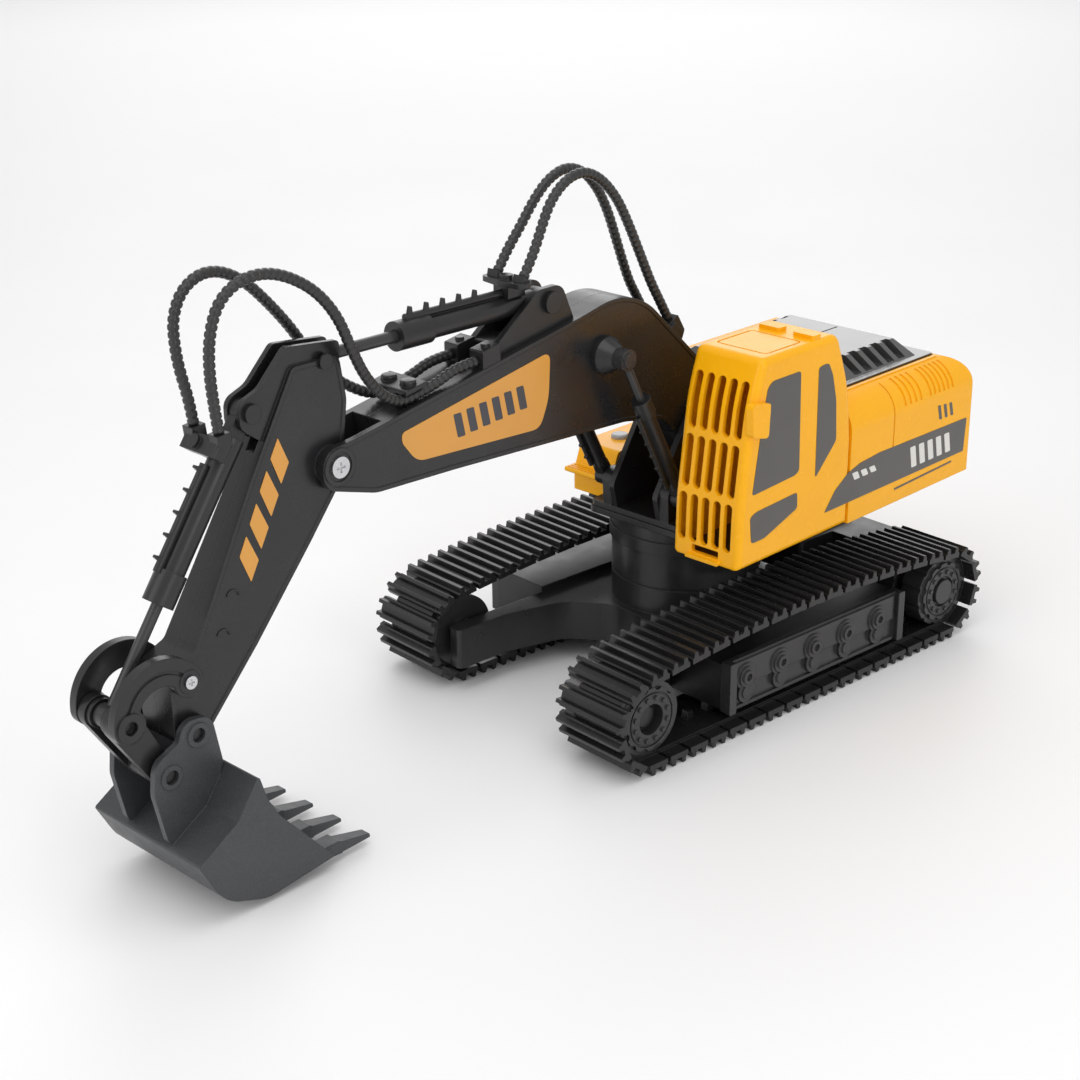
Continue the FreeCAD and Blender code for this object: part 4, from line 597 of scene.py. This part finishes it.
def stick_stickers(side, word):
    at = on_stick(side)
    for i in range(STRIPES):
        name = "stick_stripe_%s_%d" % (word, i)
        bar = [(across + i * STRIPE_STEP[0], up + i * STRIPE_STEP[1]) for across, up in STRIPE]
        bar = softened(bar, SMALL_CORNER)
        plate(name, bar, at, STICKER, amber_film, "stick")
    for i, centre in enumerate(HOOKS):
        name = "stick_hook_%s_%d" % (word, i)
        plate(name, hooked(centre), at, HOOK_HEIGHT, satin, "stick")


cab_and_hood_stickers()
for side, word in ((1, "left"), (-1, "right")):
    boom_stickers(side, word)
    stick_stickers(side, word)


# --- studio -------------------------------------------------------------------------------------


# Metres from here on.
FLOOR_HALF, FLOOR_DROP = 6.0, 0.0002
WORLD_STRENGTH = 0.7
# Each lamp: its name, its place, the spot it faces, its width and its power in watts.
LAMPS = (
    ("key", (0.25, 0.15, 0.95), (0.0, 0.0, 0.05), 0.9, 3.2),
    ("side", (0.2, 1.1, 0.45), (0.0, 0.0, 0.08), 0.5, 2.0),
    ("front", (1.1, -0.2, 0.5), (0.05, 0.0, 0.08), 0.7, 2.0),
    ("back", (-1.3, -1.25, 0.95), (-0.05, 0.0, 0.08), 1.3, 7.0),
)
CAMERA_AT, CAMERA_ANGLES = place(475.84, 393.66, 288.92), (67.958, 0.546, 134.121)
CAMERA_LENS, CAMERA_SHIFT = 66.56, (0.0074, -0.0009)


def floor():
    """A plain pale floor, a hair below the toy."""
    pale = Surface("studio_floor")
    pale.tint((0.9, 0.9, 0.903), 0.005, 3)
    pale.gloss(0.5, 0.6, 10)
    mesh = bpy.data.meshes.new("floor")
    corners = (-1, -1), (1, -1), (1, 1), (-1, 1)
    points = [(x * FLOOR_HALF, y * FLOOR_HALF, -FLOOR_DROP) for x, y in corners]
    mesh.from_pydata(points, [], [(0, 1, 2, 3)])
    mesh.materials.append(pale.material)
    made = bpy.data.objects.new("floor", mesh)
    bpy.context.scene.collection.objects.link(made)


def lights():
    """Soft light all round, and four square lamps."""
    world = bpy.data.worlds.new("studio")
    bpy.context.scene.world = world
    world.use_nodes = True
    background = world.node_tree.nodes["Background"]
    background.inputs["Color"].default_value = (1, 1, 1, 1)
    background.inputs["Strength"].default_value = WORLD_STRENGTH
    for name, spot, aim, width, power in LAMPS:
        data = bpy.data.lights.new(name, "AREA")
        data.shape = "SQUARE"
        data.size = width
        data.energy = power
        lamp = bpy.data.objects.new(name, data)
        lamp.location = spot
        lamp.rotation_euler = (Vector(aim) - Vector(spot)).to_track_quat("-Z", "Y").to_euler()
        bpy.context.scene.collection.objects.link(lamp)


def camera():
    data = bpy.data.cameras.new("camera")
    data.sensor_width = 36.0
    data.lens = CAMERA_LENS
    data.shift_x, data.shift_y = CAMERA_SHIFT
    made = bpy.data.objects.new("camera", data)
    made.location = CAMERA_AT
    made.rotation_euler = Euler([math.radians(angle) for angle in CAMERA_ANGLES], "XYZ")
    bpy.context.scene.collection.objects.link(made)
    bpy.context.scene.camera = made


floor()
lights()
camera()
bpy.context.scene.view_settings.view_transform = "Standard"
